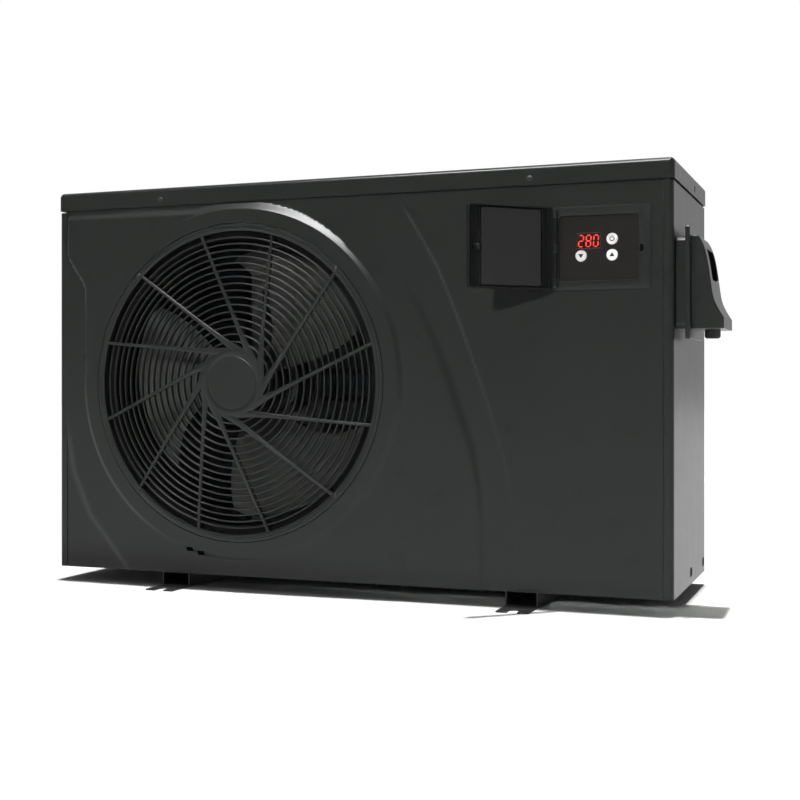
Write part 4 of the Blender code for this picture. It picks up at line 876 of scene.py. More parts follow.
def side_panel(side):
    """Side wall folded round both corners; louvres on the left, cable window on the right."""
    name = "left_panel" if side < 0 else "right_panel"
    obj = prism(name, fold_section(side, WALL), "Z", 0.0, PANEL_TOP)
    low, high = local_box(name)
    wall_x = low.x if side < 0 else high.x
    tools = []
    if side < 0:
        for y, z in LOUVRES:
            slot = cube("slot", (-0.01, y, z), (0.02, y + 0.102, z + 0.022))
            tools.append(bevel_edges(slot, 0.004, 4, along(0)))
    else:
        base_low, base_high = local_box("cable_cover_base")
        tools.append(cube("window", (wall_x - 0.02, base_low.y + 0.033, base_low.z + 0.033),
                          (wall_x + 0.02, base_high.y - 0.029, base_high.z - 0.044)))
        for y, z in SIDE_PLUGS:
            hole = cube("plug_hole", (wall_x - 0.02, y - 0.012, z - 0.0066),
                        (wall_x + 0.02, y + 0.012, z + 0.0066))
            tools.append(bevel_edges(hole, 0.0060, 5, along(0)))
    cut(obj, join("side_cutters", tools))
    tab_x = wall_x + 0.004 * -side
    tab = cube("tab", (tab_x, 0.016, PANEL_TOP - 0.004), (tab_x - side * WALL, CASE_D - 0.016,
                                                          PANEL_TOP + 0.018))
    outward(tab)
    ease(obj, 0.0005, 2)
    place_piece(join(name, [obj, tab]), name + "_skin", "root", "panel_charcoal", replaces=(name,))


def louvre_blades():
    """Slanted blades behind the left panel's slots."""
    blades = []
    for y, z in LOUVRES:
        low, high = (FACE + 0.0110, z - 0.002), (FACE + 0.0028, z + 0.026)
        corners = [(x, end, height) for (x, height), ends in ((high, (y + 0.001, y + 0.101)),
                                                              (low, (y + 0.101, y + 0.001))) for end in ends]
        blade = shape("blade", corners, [(0, 1, 2, 3)])
        apply_modifier(blade, "SOLIDIFY", thickness=0.0014, offset=1.0)
        blades.append(blade)
    place_piece(shade(outward(join("louvre_blades", blades))), "louvre_blades", "root", "panel_charcoal")


def side_plugs():
    """Two oval blanking plugs low on the right panel."""
    wall_x = PANEL_HIGH.x
    plugs = []
    for y, z in SIDE_PLUGS:
        plug = cube("plug", (wall_x - 0.004, y - 0.0117, z - 0.0063),
                    (wall_x - 0.0012, y + 0.0117, z + 0.0063))
        bevel_edges(plug, 0.0058, 6, along(0))
        plugs.append(ease(plug, 0.0005, 2))
    place_piece(join("side_plugs", plugs), "side_plugs", "root", "rubber_black")


SIDE_SCREW = (0.195, 0.592)
DIMPLE = 0.0018


def top_cover():
    """Lid with rounded corners and a crowned edge, hollow inside its skirt."""
    cover = cube("cover", (0.0, 0.0, CASE_H - SKIRT), (CASE_W, CASE_D, CASE_H))
    bevel_edges(cover, 0.0075, 8, along(2))
    top = at(0.0, 0.0, CASE_H).z
    bevel_edges(cover, 0.0070, 6,
                lambda edge: edge.verts[0].co.z > top - 1e-5 and edge.verts[1].co.z > top - 1e-5)
    pocket = cube("pocket", (WALL, WALL, CASE_H - SKIRT - 0.01),
                  (CASE_W - WALL, CASE_D - WALL, CASE_H - 2 * WALL))
    bevel_edges(pocket, 0.005, 5, along(2))
    cut(cover, pocket)
    for start, end in ((-0.001, DIMPLE), (CASE_W - DIMPLE, CASE_W + 0.001)):
        cut(cover, cylinder("dimple", 0.0052, (start, *SIDE_SCREW), (end, *SIDE_SCREW), "X", 40))
    bottom = at(0.0, 0.0, CASE_H - SKIRT).z
    bevel_edges(cover, 0.0006, 3, lambda edge: abs(edge.verts[0].co.z - bottom) < 1e-5
                and abs(edge.verts[1].co.z - bottom) < 1e-5)
    shade(cover, 40.0)
    apply_modifier(cover, "WEIGHTED_NORMAL", keep_sharp=True, weight=50)
    place_piece(cover, "top_cover_skin", "root", "panel_charcoal", replaces=("top_cover",))


def pan_head(name, body, slot, node):
    """A cross-recess pan-head screw in a CAD screw's place."""
    low, high = local_box(node)
    middle = (low + high) / 2
    radius = (high.x - low.x) / 2
    height = 0.0022
    obj = screw_shape(radius, height)
    obj.location = at(middle.x, low.y + height, middle.z) - CORNER
    settle(obj)
    place_piece(obj, name, body, slot, replaces=(node,))


def screw_shape(radius, height):
    """Head of a screw that faces -Y, its underside on the plane Y = 0 of the casing's corner."""
    profile = [(0.0, -height), (radius * 0.35, -height * 0.98), (radius * 0.7, -height * 0.82),
               (radius * 0.92, -height * 0.5), (radius, -height * 0.15), (radius * 0.98, 0.0),
               (radius * 0.45, 0.0), (radius * 0.45, 0.010), (0.0, 0.010)]
    head = spun("screw", profile, "Y", (0.0, 0.0), 32)
    arm, half = radius * 0.62, radius * 0.13
    first = cube("arm", (-arm, -height - 0.001, -half), (arm, -height * 0.35, half))
    second = cube("arm", (-half, -height - 0.0011, -arm), (half, -height * 0.36, arm))
    cut(head, first)
    cut(head, second)
    return shade(outward(head), 40.0)


def cover_screws():
    for side in ("left", "right"):
        pan_head("cover_screw_%s_head" % side, "root", "screw_black", "cover_screw_" + side)
    for side, x, turn in (("left", DIMPLE, -90.0), ("right", CASE_W - DIMPLE, 90.0)):
        head = screw_shape(0.0045, 0.0016)
        turned(head, "Z", turn, (0.0, 0.0, 0.0))
        moved(head, (x, *SIDE_SCREW))
        place_piece(head, "cover_side_screw_" + side, "root", "screw_black")


def folded_foot(node):
    """Folded steel rail with open bolt slots, its edges eased as a press leaves them."""
    low, high = local_box(node)
    sheet = 0.002
    rail = cube("rail", low, high)
    web = low.z + sheet
    cut(rail, cube("channel", (low.x + sheet, low.y - 0.01, web),
                   (high.x - sheet, high.y + 0.01, high.z + 0.01)))
    for y0, y1 in ((low.y - 0.01, 0.004), (CASE_D - 0.004, high.y + 0.01)):
        cut(rail, cube("end", (low.x - 0.01, y0, web), (high.x + 0.01, y1, high.z + 0.01)))
    middle = (low.x + high.x) / 2
    for tip, into in ((low.y, 1.0), (high.y, -1.0)):
        slot = cube("slot", (middle - 0.0075, min(tip - into * 0.02, tip + into * 0.022), low.z - 0.01),
                    (middle + 0.0075, max(tip - into * 0.02, tip + into * 0.022), web + 0.002))
        cut(rail, bevel_edges(slot, 0.0072, 6, along(2)))
    corners = bevel_edges(rail, 0.003, 4, lambda edge: along(2)(edge) and edge_at_end(edge, low, high))
    ease(corners, 0.0005, 2)
    place_piece(corners, node + "_rail", "root", "steel_black", replaces=(node,))


def edge_at_end(edge, low, high):
    spot = middle_of(edge)
    on_side = min(abs(spot.x - low.x), abs(spot.x - high.x)) < 1e-4
    return on_side and min(abs(spot.y - low.y), abs(spot.y - high.y)) < 1e-4


def base_pan():
    """Pressed steel tray with a rounded rim and two stiffening ribs."""
    low, high = local_box("base_pan")
    pan = cube("pan", low, high)
    bevel_edges(pan, 0.006, 5, along(2))
    sheet = 0.0015
    pocket = cube("pocket", (low.x + sheet, low.y + sheet, low.z + sheet),
                  (high.x - sheet, high.y - sheet, high.z + 0.01))
    bevel_edges(pocket, 0.0045, 5, along(2))
    cut(pan, pocket)
    drain_low, drain_high = local_box("drain_nozzle")
    spot = (drain_low + drain_high) / 2
    cut(pan, cylinder("drain", 0.010, (spot.x, spot.y, -0.01), (spot.x, spot.y, 0.01), "Z", 32))
    ease(pan, 0.0004, 2)
    place_piece(pan, "base_pan_tray", "root", "steel_black", replaces=("base_pan",))


def rear_guard():
    """Moulded guard over the coil: a frame and a lattice of rounded bars."""
    low, high = local_box("rear_guard")
    columns, rows, bar, edge = 7, 6, 0.006, 0.022
    cell_x = (high.x - low.x - 2 * edge + bar) / columns
    cell_z = (high.z - 2 * edge + bar) / rows
    obj = cube("guard", low, high)
    cells = []
    for i in range(columns):
        for j in range(rows):
            x, z = low.x + edge + i * cell_x, edge + j * cell_z
            cell = cube("cell", (x, low.y - 0.01, z), (x + cell_x - bar, high.y + 0.01, z + cell_z - bar))
            cells.append(bevel_edges(cell, 0.004, 3, along(1)))
    cut(obj, join("cells", cells))
    wires = []
    for i in range(columns):
        for j in range(rows):
            x, z = low.x + edge + i * cell_x, edge + j * cell_z
            for k in range(1, 5):
                spot = x + (cell_x - bar) * k / 5
                wires.append(cube("wire", (spot - 0.0009, low.y + 0.0004, z - 0.001),
                                  (spot + 0.0009, high.y - 0.0004, z + cell_z - bar + 0.001)))
    ease(obj, 0.0005, 2)
    place_piece(join("guard", [obj, shade(join("wires", wires))]), "rear_guard_lattice", "root",
                "moulding_dark",
                replaces=("rear_guard",))


def rear_panel():
    """Closed service panel with the water pipes' holes and a pressed border."""
    low, high = local_box("rear_panel")
    obj = cube("service", low, high)
    holes = []
    for word in ("inlet", "outlet"):
        pipe_low, pipe_high = local_box("water_%s_pipe" % word)
        spot = (pipe_low + pipe_high) / 2
        holes.append(cylinder("hole", 0.027, (spot.x, low.y - 0.01, spot.z), (spot.x, high.y + 0.01, spot.z),
                              "Y", 64))
    cut(obj, join("holes", holes))
    groove = cube("groove", (low.x + 0.014, high.y - 0.0007, low.z + 0.014),
                  (high.x - 0.014, high.y + 0.01, high.z - 0.014))
    land = cube("land", (low.x + 0.017, high.y - 0.002, low.z + 0.017),
                (high.x - 0.017, high.y + 0.02, high.z - 0.017))
    cut(obj, cut(groove, land))
    ease(obj, 0.0003, 2)
    place_piece(obj, "rear_panel_skin", "root", "panel_charcoal", replaces=("rear_panel",))


# ---------------------------------------------------------------- fan, grille and coil

GRILLE_INNER_R = GRILLE_R - 0.0115
GRILLE_HUB_R = 0.052
GRILLE_RIM_Y = FACE - RISE - 0.0005
GRILLE_DOME = 0.008
RINGS = 17
SPOKES = 12
SPOKE_ANGLE = 14.3
SPOKE_SWEEP = 0.045


def grille_face(radius):
    """Front of the domed grille at a radius."""
    return GRILLE_RIM_Y - GRILLE_DOME * (1 - (radius / GRILLE_INNER_R) ** 2)


def ring_radius(index):
    return 0.0513 + 0.0120 * index - 0.000072 * index * index


def grille_spoke():
    """One swept spoke, lofted from the hub to the rim."""
    verts, faces, steps = [], [], 18
    for i in range(steps + 1):
        t = i / steps
        radius = GRILLE_HUB_R - 0.006 + (GRILLE_INNER_R + 0.002 - GRILLE_HUB_R + 0.006) * t
        sweep = math.asin(min(1.0, SPOKE_SWEEP / radius)) - math.asin(SPOKE_SWEEP / GRILLE_INNER_R)
        angle = math.radians(SPOKE_ANGLE) - sweep
        slant = math.atan2(SPOKE_SWEEP, math.sqrt(max(1e-9, radius ** 2 - SPOKE_SWEEP ** 2)))
        run = Vector((math.cos(angle + slant), math.sin(angle + slant)))
        across = Vector((-run.y, run.x))
        half = 0.0024 + 0.0018 * (1 - t) ** 3 + 0.0046 * (1 - t) ** 16
        face = grille_face(min(radius, GRILLE_INNER_R))
        for offset, depth in ((1.0, 0.0012), (0.62, 0.0002), (-0.62, 0.0002), (-1.0, 0.0012),
                              (-0.9, 0.0080), (0.9, 0.0080)):
            spot = across * (offset * half)
            verts.append((FAN.x + radius * math.cos(angle) + spot.x, face + depth,
                          FAN.z + radius * math.sin(angle) + spot.y))
    for i in range(steps):
        for j in range(6):
            k = (j + 1) % 6
            faces.append((i * 6 + j, i * 6 + k, (i + 1) * 6 + k, (i + 1) * 6 + j))
    faces += [tuple(range(6)), tuple(steps * 6 + j for j in reversed(range(6)))]
    return outward(shape("spoke", verts, faces))


def fan_grille():
    """Guard in front of the fan: stepped rim, domed hub, fine rings and swept spokes."""
    r_out, r_in, y = GRILLE_R, GRILLE_INNER_R, GRILLE_RIM_Y
    back = GRILLE_HIGH.y
    rim = [(r_in, back), (r_in, y + 0.0012), (r_in + 0.0003, y + 0.0004), (r_in + 0.0011, y),
           (r_in + 0.0058, y),
           (r_in + 0.0062, y + 0.0005), (r_in + 0.0070, y + 0.0005), (r_in + 0.0074, y), (r_out - 0.0010, y),
           (r_out - 0.0003, y + 0.0003), (r_out, y + 0.0010), (r_out, back)]
    parts = [shade(spun("rim", rim, "Y", (FAN.x, FAN.z), 240), 35.0)]
    for i in range(RINGS):
        r, y = ring_radius(i), grille_face(ring_radius(i))
        ring = [(r - 0.0013, y + 0.0016), (r - 0.0006, y + 0.0008), (r + 0.0006, y + 0.0008),
                (r + 0.0013, y + 0.0016),
                (r + 0.0011, y + 0.0064), (r - 0.0011, y + 0.0064)]
        parts.append(shade(spun("ring", ring, "Y", (FAN.x, FAN.z), 144), 50.0))
    hub_y, hub_r = grille_face(GRILLE_HUB_R), GRILLE_HUB_R
    hub = [(0.0, hub_y - 0.0006), (0.020, hub_y - 0.0005), (0.0398, hub_y - 0.0002), (0.0404, hub_y + 0.0003),
           (0.0416, hub_y + 0.0003), (0.0422, hub_y - 0.0001), (hub_r - 0.0016, hub_y),
           (hub_r - 0.0004, hub_y + 0.0005),
           (hub_r, hub_y + 0.0016), (hub_r, hub_y + 0.0085), (0.0, hub_y + 0.0085)]
    parts.append(shade(spun("hub", hub, "Y", (FAN.x, FAN.z), 96), 35.0))
    spoke = shade(grille_spoke(), 50.0)
    for k in range(SPOKES):
        parts.append(turned(copy_of(spoke, "spoke"), "Y", -360.0 / SPOKES * k, (FAN.x, 0.0, FAN.z)))
    bpy.data.objects.remove(spoke)
    place_piece(join("grille", parts), "fan_grille_guard", "root", "moulding_dark", replaces=("fan_grille",))
    for k in range(4):
        pan_head("grille_screw_%d_head" % (k + 1), "root", "screw_black", "grille_screw_%d" % (k + 1))


def fan_blade(hub_r, tip_r, middle_y):
    """One broad blade with a rounded tip, from the same sweep and pitch as the hub's sockets."""
    radial, around, thick = 16, 22, 0.0028
    verts, faces = [], []
    for side in (-0.5, 0.5):
        for i in range(radial + 1):
            t = i / radial
            radius = hub_r - 0.004 + (tip_r - hub_r + 0.004) * t
            half = 24.0 + 16.0 * t
            for j in range(around + 1):
                s = 2 * j / around - 1
                angle = math.radians(45.0 + 18.0 * t * t + half * s)
                reach = radius - 0.010 * t * abs(s) ** 6
                y = middle_y + s * 0.020 - 0.004 * s * s + side * thick
                verts.append((FAN.x + reach * math.cos(angle), y, FAN.z + reach * math.sin(angle)))
    row, sheet = around + 1, (radial + 1) * (around + 1)
    for i in range(radial):
        for j in range(around):
            a, b, c, d = i * row + j, (i + 1) * row + j, (i + 1) * row + j + 1, i * row + j + 1
            faces += [(a, b, c, d), (sheet + a, sheet + d, sheet + c, sheet + b)]
    border = [i * row for i in range(radial + 1)] + [radial * row + j for j in range(1, row)]
    border += [i * row + around for i in range(radial - 1, -1, -1)] + [j for j in range(around - 1, 0, -1)]
    for a, b in zip(border, border[1:] + border[:1]):
        faces.append((a, sheet + a, sheet + b, b))
    return shade(outward(shape("blade", verts, faces)), 40.0)


def fan_rotor():
    hub_r, tip_r = 0.045, 0.2130
    hub_low, hub_high = 0.040, 0.090
    profile = [(0.0062, hub_low + 0.004), (0.012, hub_low + 0.003), (0.020, hub_low + 0.0005),
               (0.036, hub_low),
               (0.042, hub_low + 0.0012), (hub_r, hub_low + 0.006), (hub_r, hub_high), (0.0062, hub_high)]
    parts = [shade(spun("rotor_hub", profile, "Y", (FAN.x, FAN.z), 72), 35.0)]
    blade = fan_blade(hub_r, tip_r, (hub_low + hub_high) / 2)
    for k in range(3):
        parts.append(turned(copy_of(blade, "blade"), "Y", -120.0 * k, (FAN.x, 0.0, FAN.z)))
    bpy.data.objects.remove(blade)
    place_piece(join("rotor", parts), "fan_rotor_blades", "fan", "fan_plastic", replaces=("fan_rotor",))


def coil_fins():
    """Fin stack of the coil: thin upright fins along its back and along its left leg, and its tubes."""
    low, high = local_box("evaporator_fins")
    depth, pitch = 0.026, 0.0030
    fin = cube("fin", (low.x + depth, high.y - depth, low.z), (low.x + depth + 0.00035, high.y, high.z))
    count = int((high.x - low.x - depth) / pitch)
    apply_modifier(fin, "ARRAY", count=count, use_relative_offset=False, use_constant_offset=True,
                   constant_offset_displace=(pitch, 0.0, 0.0))
    side = cube("fin", (low.x, low.y, low.z), (low.x + depth, low.y + 0.00035, high.z))
    count = int((high.y - low.y) / pitch)
    apply_modifier(side, "ARRAY", count=count, use_relative_offset=False, use_constant_offset=True,
                   constant_offset_displace=(0.0, pitch, 0.0))
    place_piece(join("fins", [fin, side]), "coil_fin_stack", "root", "fin_aluminium",
                replaces=("evaporator_fins",))
    tubes = []
    for k in range(11):
        z = low.z + 0.030 + k * 0.048
        for y in (high.y - 0.019, high.y - 0.007):
            tubes.append(cylinder("tube", 0.0042, (low.x + 0.013, y, z), (high.x, y, z), "X", 14))
        for x in (low.x + 0.007, low.x + 0.019):
            tubes.append(cylinder("tube", 0.0042, (x, low.y, z), (x, high.y - 0.013, z), "Y", 14))
    place_piece(shade(join("tubes", tubes), 40.0), "coil_tubes", "root", "copper_pipe")


# ---------------------------------------------------------------- refined copies of frame nodes

def refined(node, body="root", width=0.0006, segments=2):
    """A CAD node's own shape with merged points, clean flats and eased edges."""
    obj = copy_of(NODES[node], node + "_shape")
    obj.parent = None
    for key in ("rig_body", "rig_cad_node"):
        if key in obj:
            del obj[key]
    enter(obj, "VERT")
    bpy.ops.mesh.select_all(action="SELECT")
    bpy.ops.mesh.remove_doubles(threshold=0.00001)
    bpy.ops.mesh.dissolve_limited(angle_limit=math.radians(0.6))
    leave()
    apply_modifier(obj, "BEVEL", width=width, segments=segments, limit_method="ANGLE",
                   angle_limit=math.radians(40.0), miter_outer="MITER_ARC", use_clamp_overlap=True)
    shade(obj, 32.0)
    place_piece(obj, node + "_shape", body, SLOT_OF[node], replaces=(node,))
    return obj


def union_nut(word):
    """Ribbed union nut on a water pipe's end."""
    node = word + "_union_nut"
    low, high = local_box(node)
    middle = (low + high) / 2
    radius = (high.x - low.x) / 2
    bore = 0.0256
    lip = 0.0296
    profile = [(bore, low.y), (radius - 0.003, low.y), (radius - 0.001, low.y + 0.002),
               (radius - 0.0016, low.y + 0.004),
               (radius - 0.0016, high.y - 0.002), (radius - 0.003, high.y), (lip, high.y),
               (lip, high.y - 0.012),
               (bore, high.y - 0.012)]
    parts = [shade(spun("nut", profile, "Y", (middle.x, middle.z), 72), 30.0)]
    rib = cube("rib", (middle.x + radius - 0.0030, low.y + 0.005, middle.z - 0.0016),
               (middle.x + radius, high.y - 0.003, middle.z + 0.0016))
    ease(rib, 0.0006, 2)
    for k in range(24):
        parts.append(turned(copy_of(rib, "rib"), "Y", 15.0 * k, (middle.x, 0.0, middle.z)))
    bpy.data.objects.remove(rib)
    place_piece(join(node, parts), node + "_ribbed", "root", "moulding_dark", replaces=(node,))


# ---------------------------------------------------------------- control panel

def control_frame():
    refined("control_frame", "root", 0.0004, 2)


SEGMENTS = {"0": "abcdef", "2": "abged", "8": "abcdefg"}


def display_window():
    """The window's low and high corner, as (x, z), over the down button's left part."""
    left = local_box("down_button")[0].x + 0.0024
    return (left, 0.4880), (left + 0.034, 0.5100)


def seven_segments(digits):
    """Lit segments of the display, and the dark window in front of its module."""
    face = local_box("display_plate")[0].y
    (x0, z0), (x1, z1) = display_window()
    window = cube("display_window", (x0 + FIT, face + 0.0003, z0 + FIT), (x1 - FIT, face + 0.0012, z1 - FIT))
    place_piece(ease(window, 0.0002, 2), "display_window", "root", "display_plate", "lens_red")
    width, height, bar, step = 0.0064, 0.0158, 0.00125, 0.0106
    first = x0 + 0.0028
    base = z0 + 0.0026
    lit = []
    for index, digit in enumerate(digits):
        x = first + index * step
        middle = base + height / 2
        across = {"a": base + height, "g": middle, "d": base}
        upright = {"f": (x, middle), "b": (x + width, middle), "e": (x, base), "c": (x + width, base)}
        for name in SEGMENTS[digit]:
            if name in across:
                z = across[name]
                outline = [(x + bar * 0.7, z), (x + bar * 1.2, z + bar / 2),
                           (x + width - bar * 1.2, z + bar / 2),
                           (x + width - bar * 0.7, z), (x + width - bar * 1.2, z - bar / 2),
                           (x + bar * 1.2, z - bar / 2)]
            else:
                spot, z = upright[name]
                end = z + height / 2
                outline = [(spot, z + bar * 0.7), (spot + bar / 2, z + bar * 1.2),
                           (spot + bar / 2, end - bar * 1.2),
                           (spot, end - bar * 0.7), (spot - bar / 2, end - bar * 1.2),
                           (spot - bar / 2, z + bar * 1.2)]
            slanted = [(a + (b - base) * 0.06, b) for a, b in outline]
            lit.append(prism("segment", slanted, "Y", face + 0.00012, face + 0.0008))
    place_piece(join("segments", lit), "display_segments", "root", "display_plate", "segment_lit")


def display_plate():
    """Plate behind the frame's opening, with round button holes and the display's window."""
    low, high = local_box("display_plate")
    plate = prism("plate", rounded((low.x, low.z), (high.x, high.z), 0.0047, 8), "Y", low.y, high.y)
    tools = []
    for name in ("power_button", "up_button", "down_button"):
        button_low, button_high = local_box(name)
        middle = (button_low + button_high) / 2
        tools.append(cylinder("hole", 0.0082, (middle.x, low.y - 0.01, middle.z),
                              (middle.x, high.y + 0.01, middle.z), "Y", 64))
    (x0, z0), (x1, z1) = display_window()
    tools.append(cube("window", (x0, low.y - 0.01, z0), (x1, high.y + 0.01, z1)))
    cut(plate, join("plate_cutters", tools))
    ease(plate, 0.00025, 2)
    place_piece(plate, "display_plate_face", "root", "display_plate", replaces=("display_plate",))


def push_button(node, body):
    """Round white button with a soft edge and a moulded collar behind the plate."""
    low, high = local_box(node)
    middle = (low + high) / 2
    radius = (high.x - low.x) / 2 - 0.001
    face = low.y
    profile = [(0.0, face), (radius - 0.0014, face), (radius - 0.0006, face + 0.0002),
               (radius - 0.0001, face + 0.0008),
               (radius, face + 0.0014), (radius, face + 0.0035), (radius + 0.001, face + 0.0036),
               (radius + 0.001, face + 0.0045), (0.003, face + 0.0045), (0.003, high.y), (0.0, high.y)]
    obj = shade(spun(node, profile, "Y", (middle.x, middle.z), 64), 35.0)
    place_piece(obj, node + "_cap", body, "button_white", replaces=(node,))
    return middle, face


def flat_mark(name, outlines, face, body):
    """Dark printed marks a few hundredths of a millimetre proud of a button."""
    parts = [prism("mark", outline, "Y", face - 0.00004, face + 0.0003) for outline in outlines]
    place_piece(join(name, parts), name, body, "button_white", "button_mark")


def ring_sector(centre, inner, outer, start, end):
    """Outline of a part of a ring, from one angle to another."""
    points, steps = [], 28
    for radius, order in ((outer, range(steps + 1)), (inner, range(steps, -1, -1))):
        for i in order:
            angle = math.radians(start + (end - start) * i / steps)
            points.append((centre.x + radius * math.cos(angle), centre.z + radius * math.sin(angle)))
    return points


def buttons():
    middle, face = push_button("power_button", "power_key")
    arc = ring_sector(middle, 0.0025, 0.0037, 125.0, 415.0)
    bar = [(middle.x - 0.0006, middle.z + 0.0008), (middle.x + 0.0006, middle.z + 0.0008),
           (middle.x + 0.0006, middle.z + 0.0044), (middle.x - 0.0006, middle.z + 0.0044)]
    flat_mark("power_mark", [arc, bar], face, "power_key")
    for node, body, way in (("up_button", "up_key", 1.0), ("down_button", "down_key", -1.0)):
        middle, face = push_button(node, body)
        points = [(middle.x - 0.0038, middle.z - way * 0.0024), (middle.x + 0.0038, middle.z - way * 0.0024),
                  (middle.x, middle.z + way * 0.0038)]
        flat_mark(node.replace("button", "mark"), [points], face, body)


# ---------------------------------------------------------------- door, at rest as the frame has it

PIN_LOW, PIN_HIGH = local_box("door_hinge_pin")
HINGE = Vector(((PIN_LOW.x + PIN_HIGH.x) / 2, (PIN_LOW.y + PIN_HIGH.y) / 2, 0.0))
DOOR_REST = -138.0


def swung(obj):
    """Turn a door piece from closed to its rest position about the hinge."""
    return turned(obj, "Z", DOOR_REST, HINGE)


def door_box(name, low, high):
    """A box in the closed door's own axes: X from the hinge, Y from the pin's line."""
    return cube(name, (HINGE.x + low[0], HINGE.y + low[1], low[2]),
                (HINGE.x + high[0], HINGE.y + high[1], high[2]))


def hinge_rod(name, radius, x, low, high):
    return cylinder(name, radius, (HINGE.x + x, HINGE.y, low), (HINGE.x + x, HINGE.y, high), "Z", 32)


def control_door():
    """Door moulding: skin with a rim, a raised liner between two channels, knuckles and catch boss."""
    low, high = local_box("control_door")
    z0, z1 = low.z, high.z
    middle = (z0 + z1) / 2
    face, back, reach, near = -0.0055, 0.0035, 0.1345, 0.005
    shell = door_box("door", (near, face, z0), (reach, back, z1))
    bevel_edges(shell, 0.004, 5, along(1))
    outer = at(0, HINGE.y + face, 0).y
    bevel_edges(shell, 0.0016, 3, lambda edge: abs(edge.verts[0].co.y - outer) < 1e-5
                and abs(edge.verts[1].co.y - outer) < 1e-5)
    rim = 0.0020
    pocket = door_box("pocket", (near + rim, face + rim, z0 + rim), (reach - rim, back + 0.01, z1 - rim))
    bevel_edges(pocket, 0.0024, 4, along(1))
    cut(shell, pocket)
    notch = door_box("notch", (0.066, face + 0.0045, z0 - 0.001), (0.074, back + 0.001, z0 + 0.004))
    cut(shell, notch)
    ease(shell, 0.0003, 2)
    liner = door_box("liner", (0.0230, face + rim - 0.0002, z0 + 0.0045),
                     (0.1150, back - 0.0012, z1 - 0.0045))
    bevel_edges(liner, 0.002, 3, along(1))
    # the liner wears a lighter copy of the panel plastic: painted light on its raised face
    place_piece(swung(ease(liner, 0.0007, 3)), "control_door_liner", "door", "panel_charcoal", "door_inside")
    parts = [shell]
    for x0, x1 in ((0.0085, 0.0100), (0.0195, 0.0210), (0.1172, 0.1184), (0.1296, 0.1308)):
        rib = door_box("rib", (x0, face + rim - 0.0002, z0 + 0.003), (x1, back - 0.0008, z1 - 0.003))
        parts.append(ease(rib, 0.0003, 2))
    boss = cylinder("boss", 0.0042, (HINGE.x + 0.1222, HINGE.y + face + 0.001, middle),
                    (HINGE.x + 0.1222, HINGE.y + back - 0.0005, middle), "Y", 32)
    parts.append(ease(boss, 0.0005, 2))
    ear, gap = 0.010, 0.0005
    first, last = z0 + 0.004, z1 - 0.004
    spans = ((first + ear + gap, (first + last) / 2 - ear / 2 - gap),
             ((first + last) / 2 + ear / 2 + gap, last - ear - gap))
    for start, end in spans:
        knuckle = hinge_rod("knuckle", 0.0037, 0.0, start, end)
        web = door_box("web", (0.0006, -0.0034, start + 0.0006), (near + 0.002, 0.0018, end - 0.0006))
        parts += [ease(knuckle, 0.0004, 2), ease(web, 0.0004, 2)]
    # the rest of the moulding wears a darker copy of the panel plastic: painted shade in its channels and on
    # its knuckles
    place_piece(swung(join("door", parts)), "control_door_moulding", "door", "panel_charcoal", "door_shadow",
                replaces=("control_door",))


def door_catch():
    """Quarter-turn catch: slotted head outside, stem through the boss, tongue inside."""
    low, high = local_box("control_door")
    middle = (low.z + high.z) / 2
    x, face = HINGE.x + 0.1222, HINGE.y - 0.0055
    tip = HINGE.y + 0.0087
    profile = [(0.0, face - 0.0019), (0.0048, face - 0.0019), (0.0055, face - 0.0015),
               (0.0058, face - 0.0008),
               (0.0058, face - 0.0003), (0.0019, face - 0.0003), (0.0019, tip), (0.0014, tip + 0.0004),
               (0.0, tip + 0.0004)]
    head = shade(spun("catch", profile, "Y", (x, middle), 48), 35.0)
    slot = cube("slot", (x - 0.0044, face - 0.003, middle - 0.0006),
                (x + 0.0044, face - 0.0011, middle + 0.0006))
    cut(head, slot)
    shade(head, 35.0)
    tongue = cube("tongue", (x - 0.0016, tip - 0.0013, middle - 0.0062), (x + 0.0016, tip + 0.0003, middle))
    ease(tongue, 0.0004, 2)
    place_piece(swung(join("catch", [head, tongue])), "door_catch_turn", "catch", "moulding_dark",
                replaces=("door_catch",))


# ---------------------------------------------------------------- cable cover

def smooth_line(points):
    """Points along a smooth curve through the given ones."""
    per_span = 6
    route = [Vector(p) for p in points]
    ends = [2 * route[0] - route[1]] + route + [2 * route[-1] - route[-2]]
    result = []
    for i in range(1, len(ends) - 2):
        a, b, c, d = ends[i - 1:i + 3]
        for k in range(per_span):
            t = k / per_span
            result.append(0.5 * (2 * b + (c - a) * t + (2 * a - 5 * b + 4 * c - d) * t * t
                                 + (3 * b - a - 3 * c + d) * t ** 3))
    result.append(route[-1])
    return result


def hood_outline(x0, z0, z1, out, inset=0.0):
    """Front view of the hood: a smooth flank between the flared foot and the rounded head."""
    flank = smooth_line([(x0 + out, z0 + 0.0150), (x0 + out * 0.80, z0 + 0.0300),
                         (x0 + out * 0.665, z0 + 0.0460),
                         (x0 + out * 0.56, z0 + 0.0780), (x0 + out * 0.475, z0 + 0.1000),
                         (x0 + out * 0.37, z0 + 0.1160),
                         (x0 + out * 0.235, z1 - 0.0016), (x0 + out * 0.16, z1)])
    points = [(x0, z0), (x0 + out, z0)] + [tuple(p) for p in flank] + [(x0, z1)]
    if not inset:
        return points
    return [(max(x0 - 0.01, x - inset) if x > x0 + 1e-4 else x0 - 0.01,
             min(max(z, z0 + inset), z1 - inset)) for x, z in points]


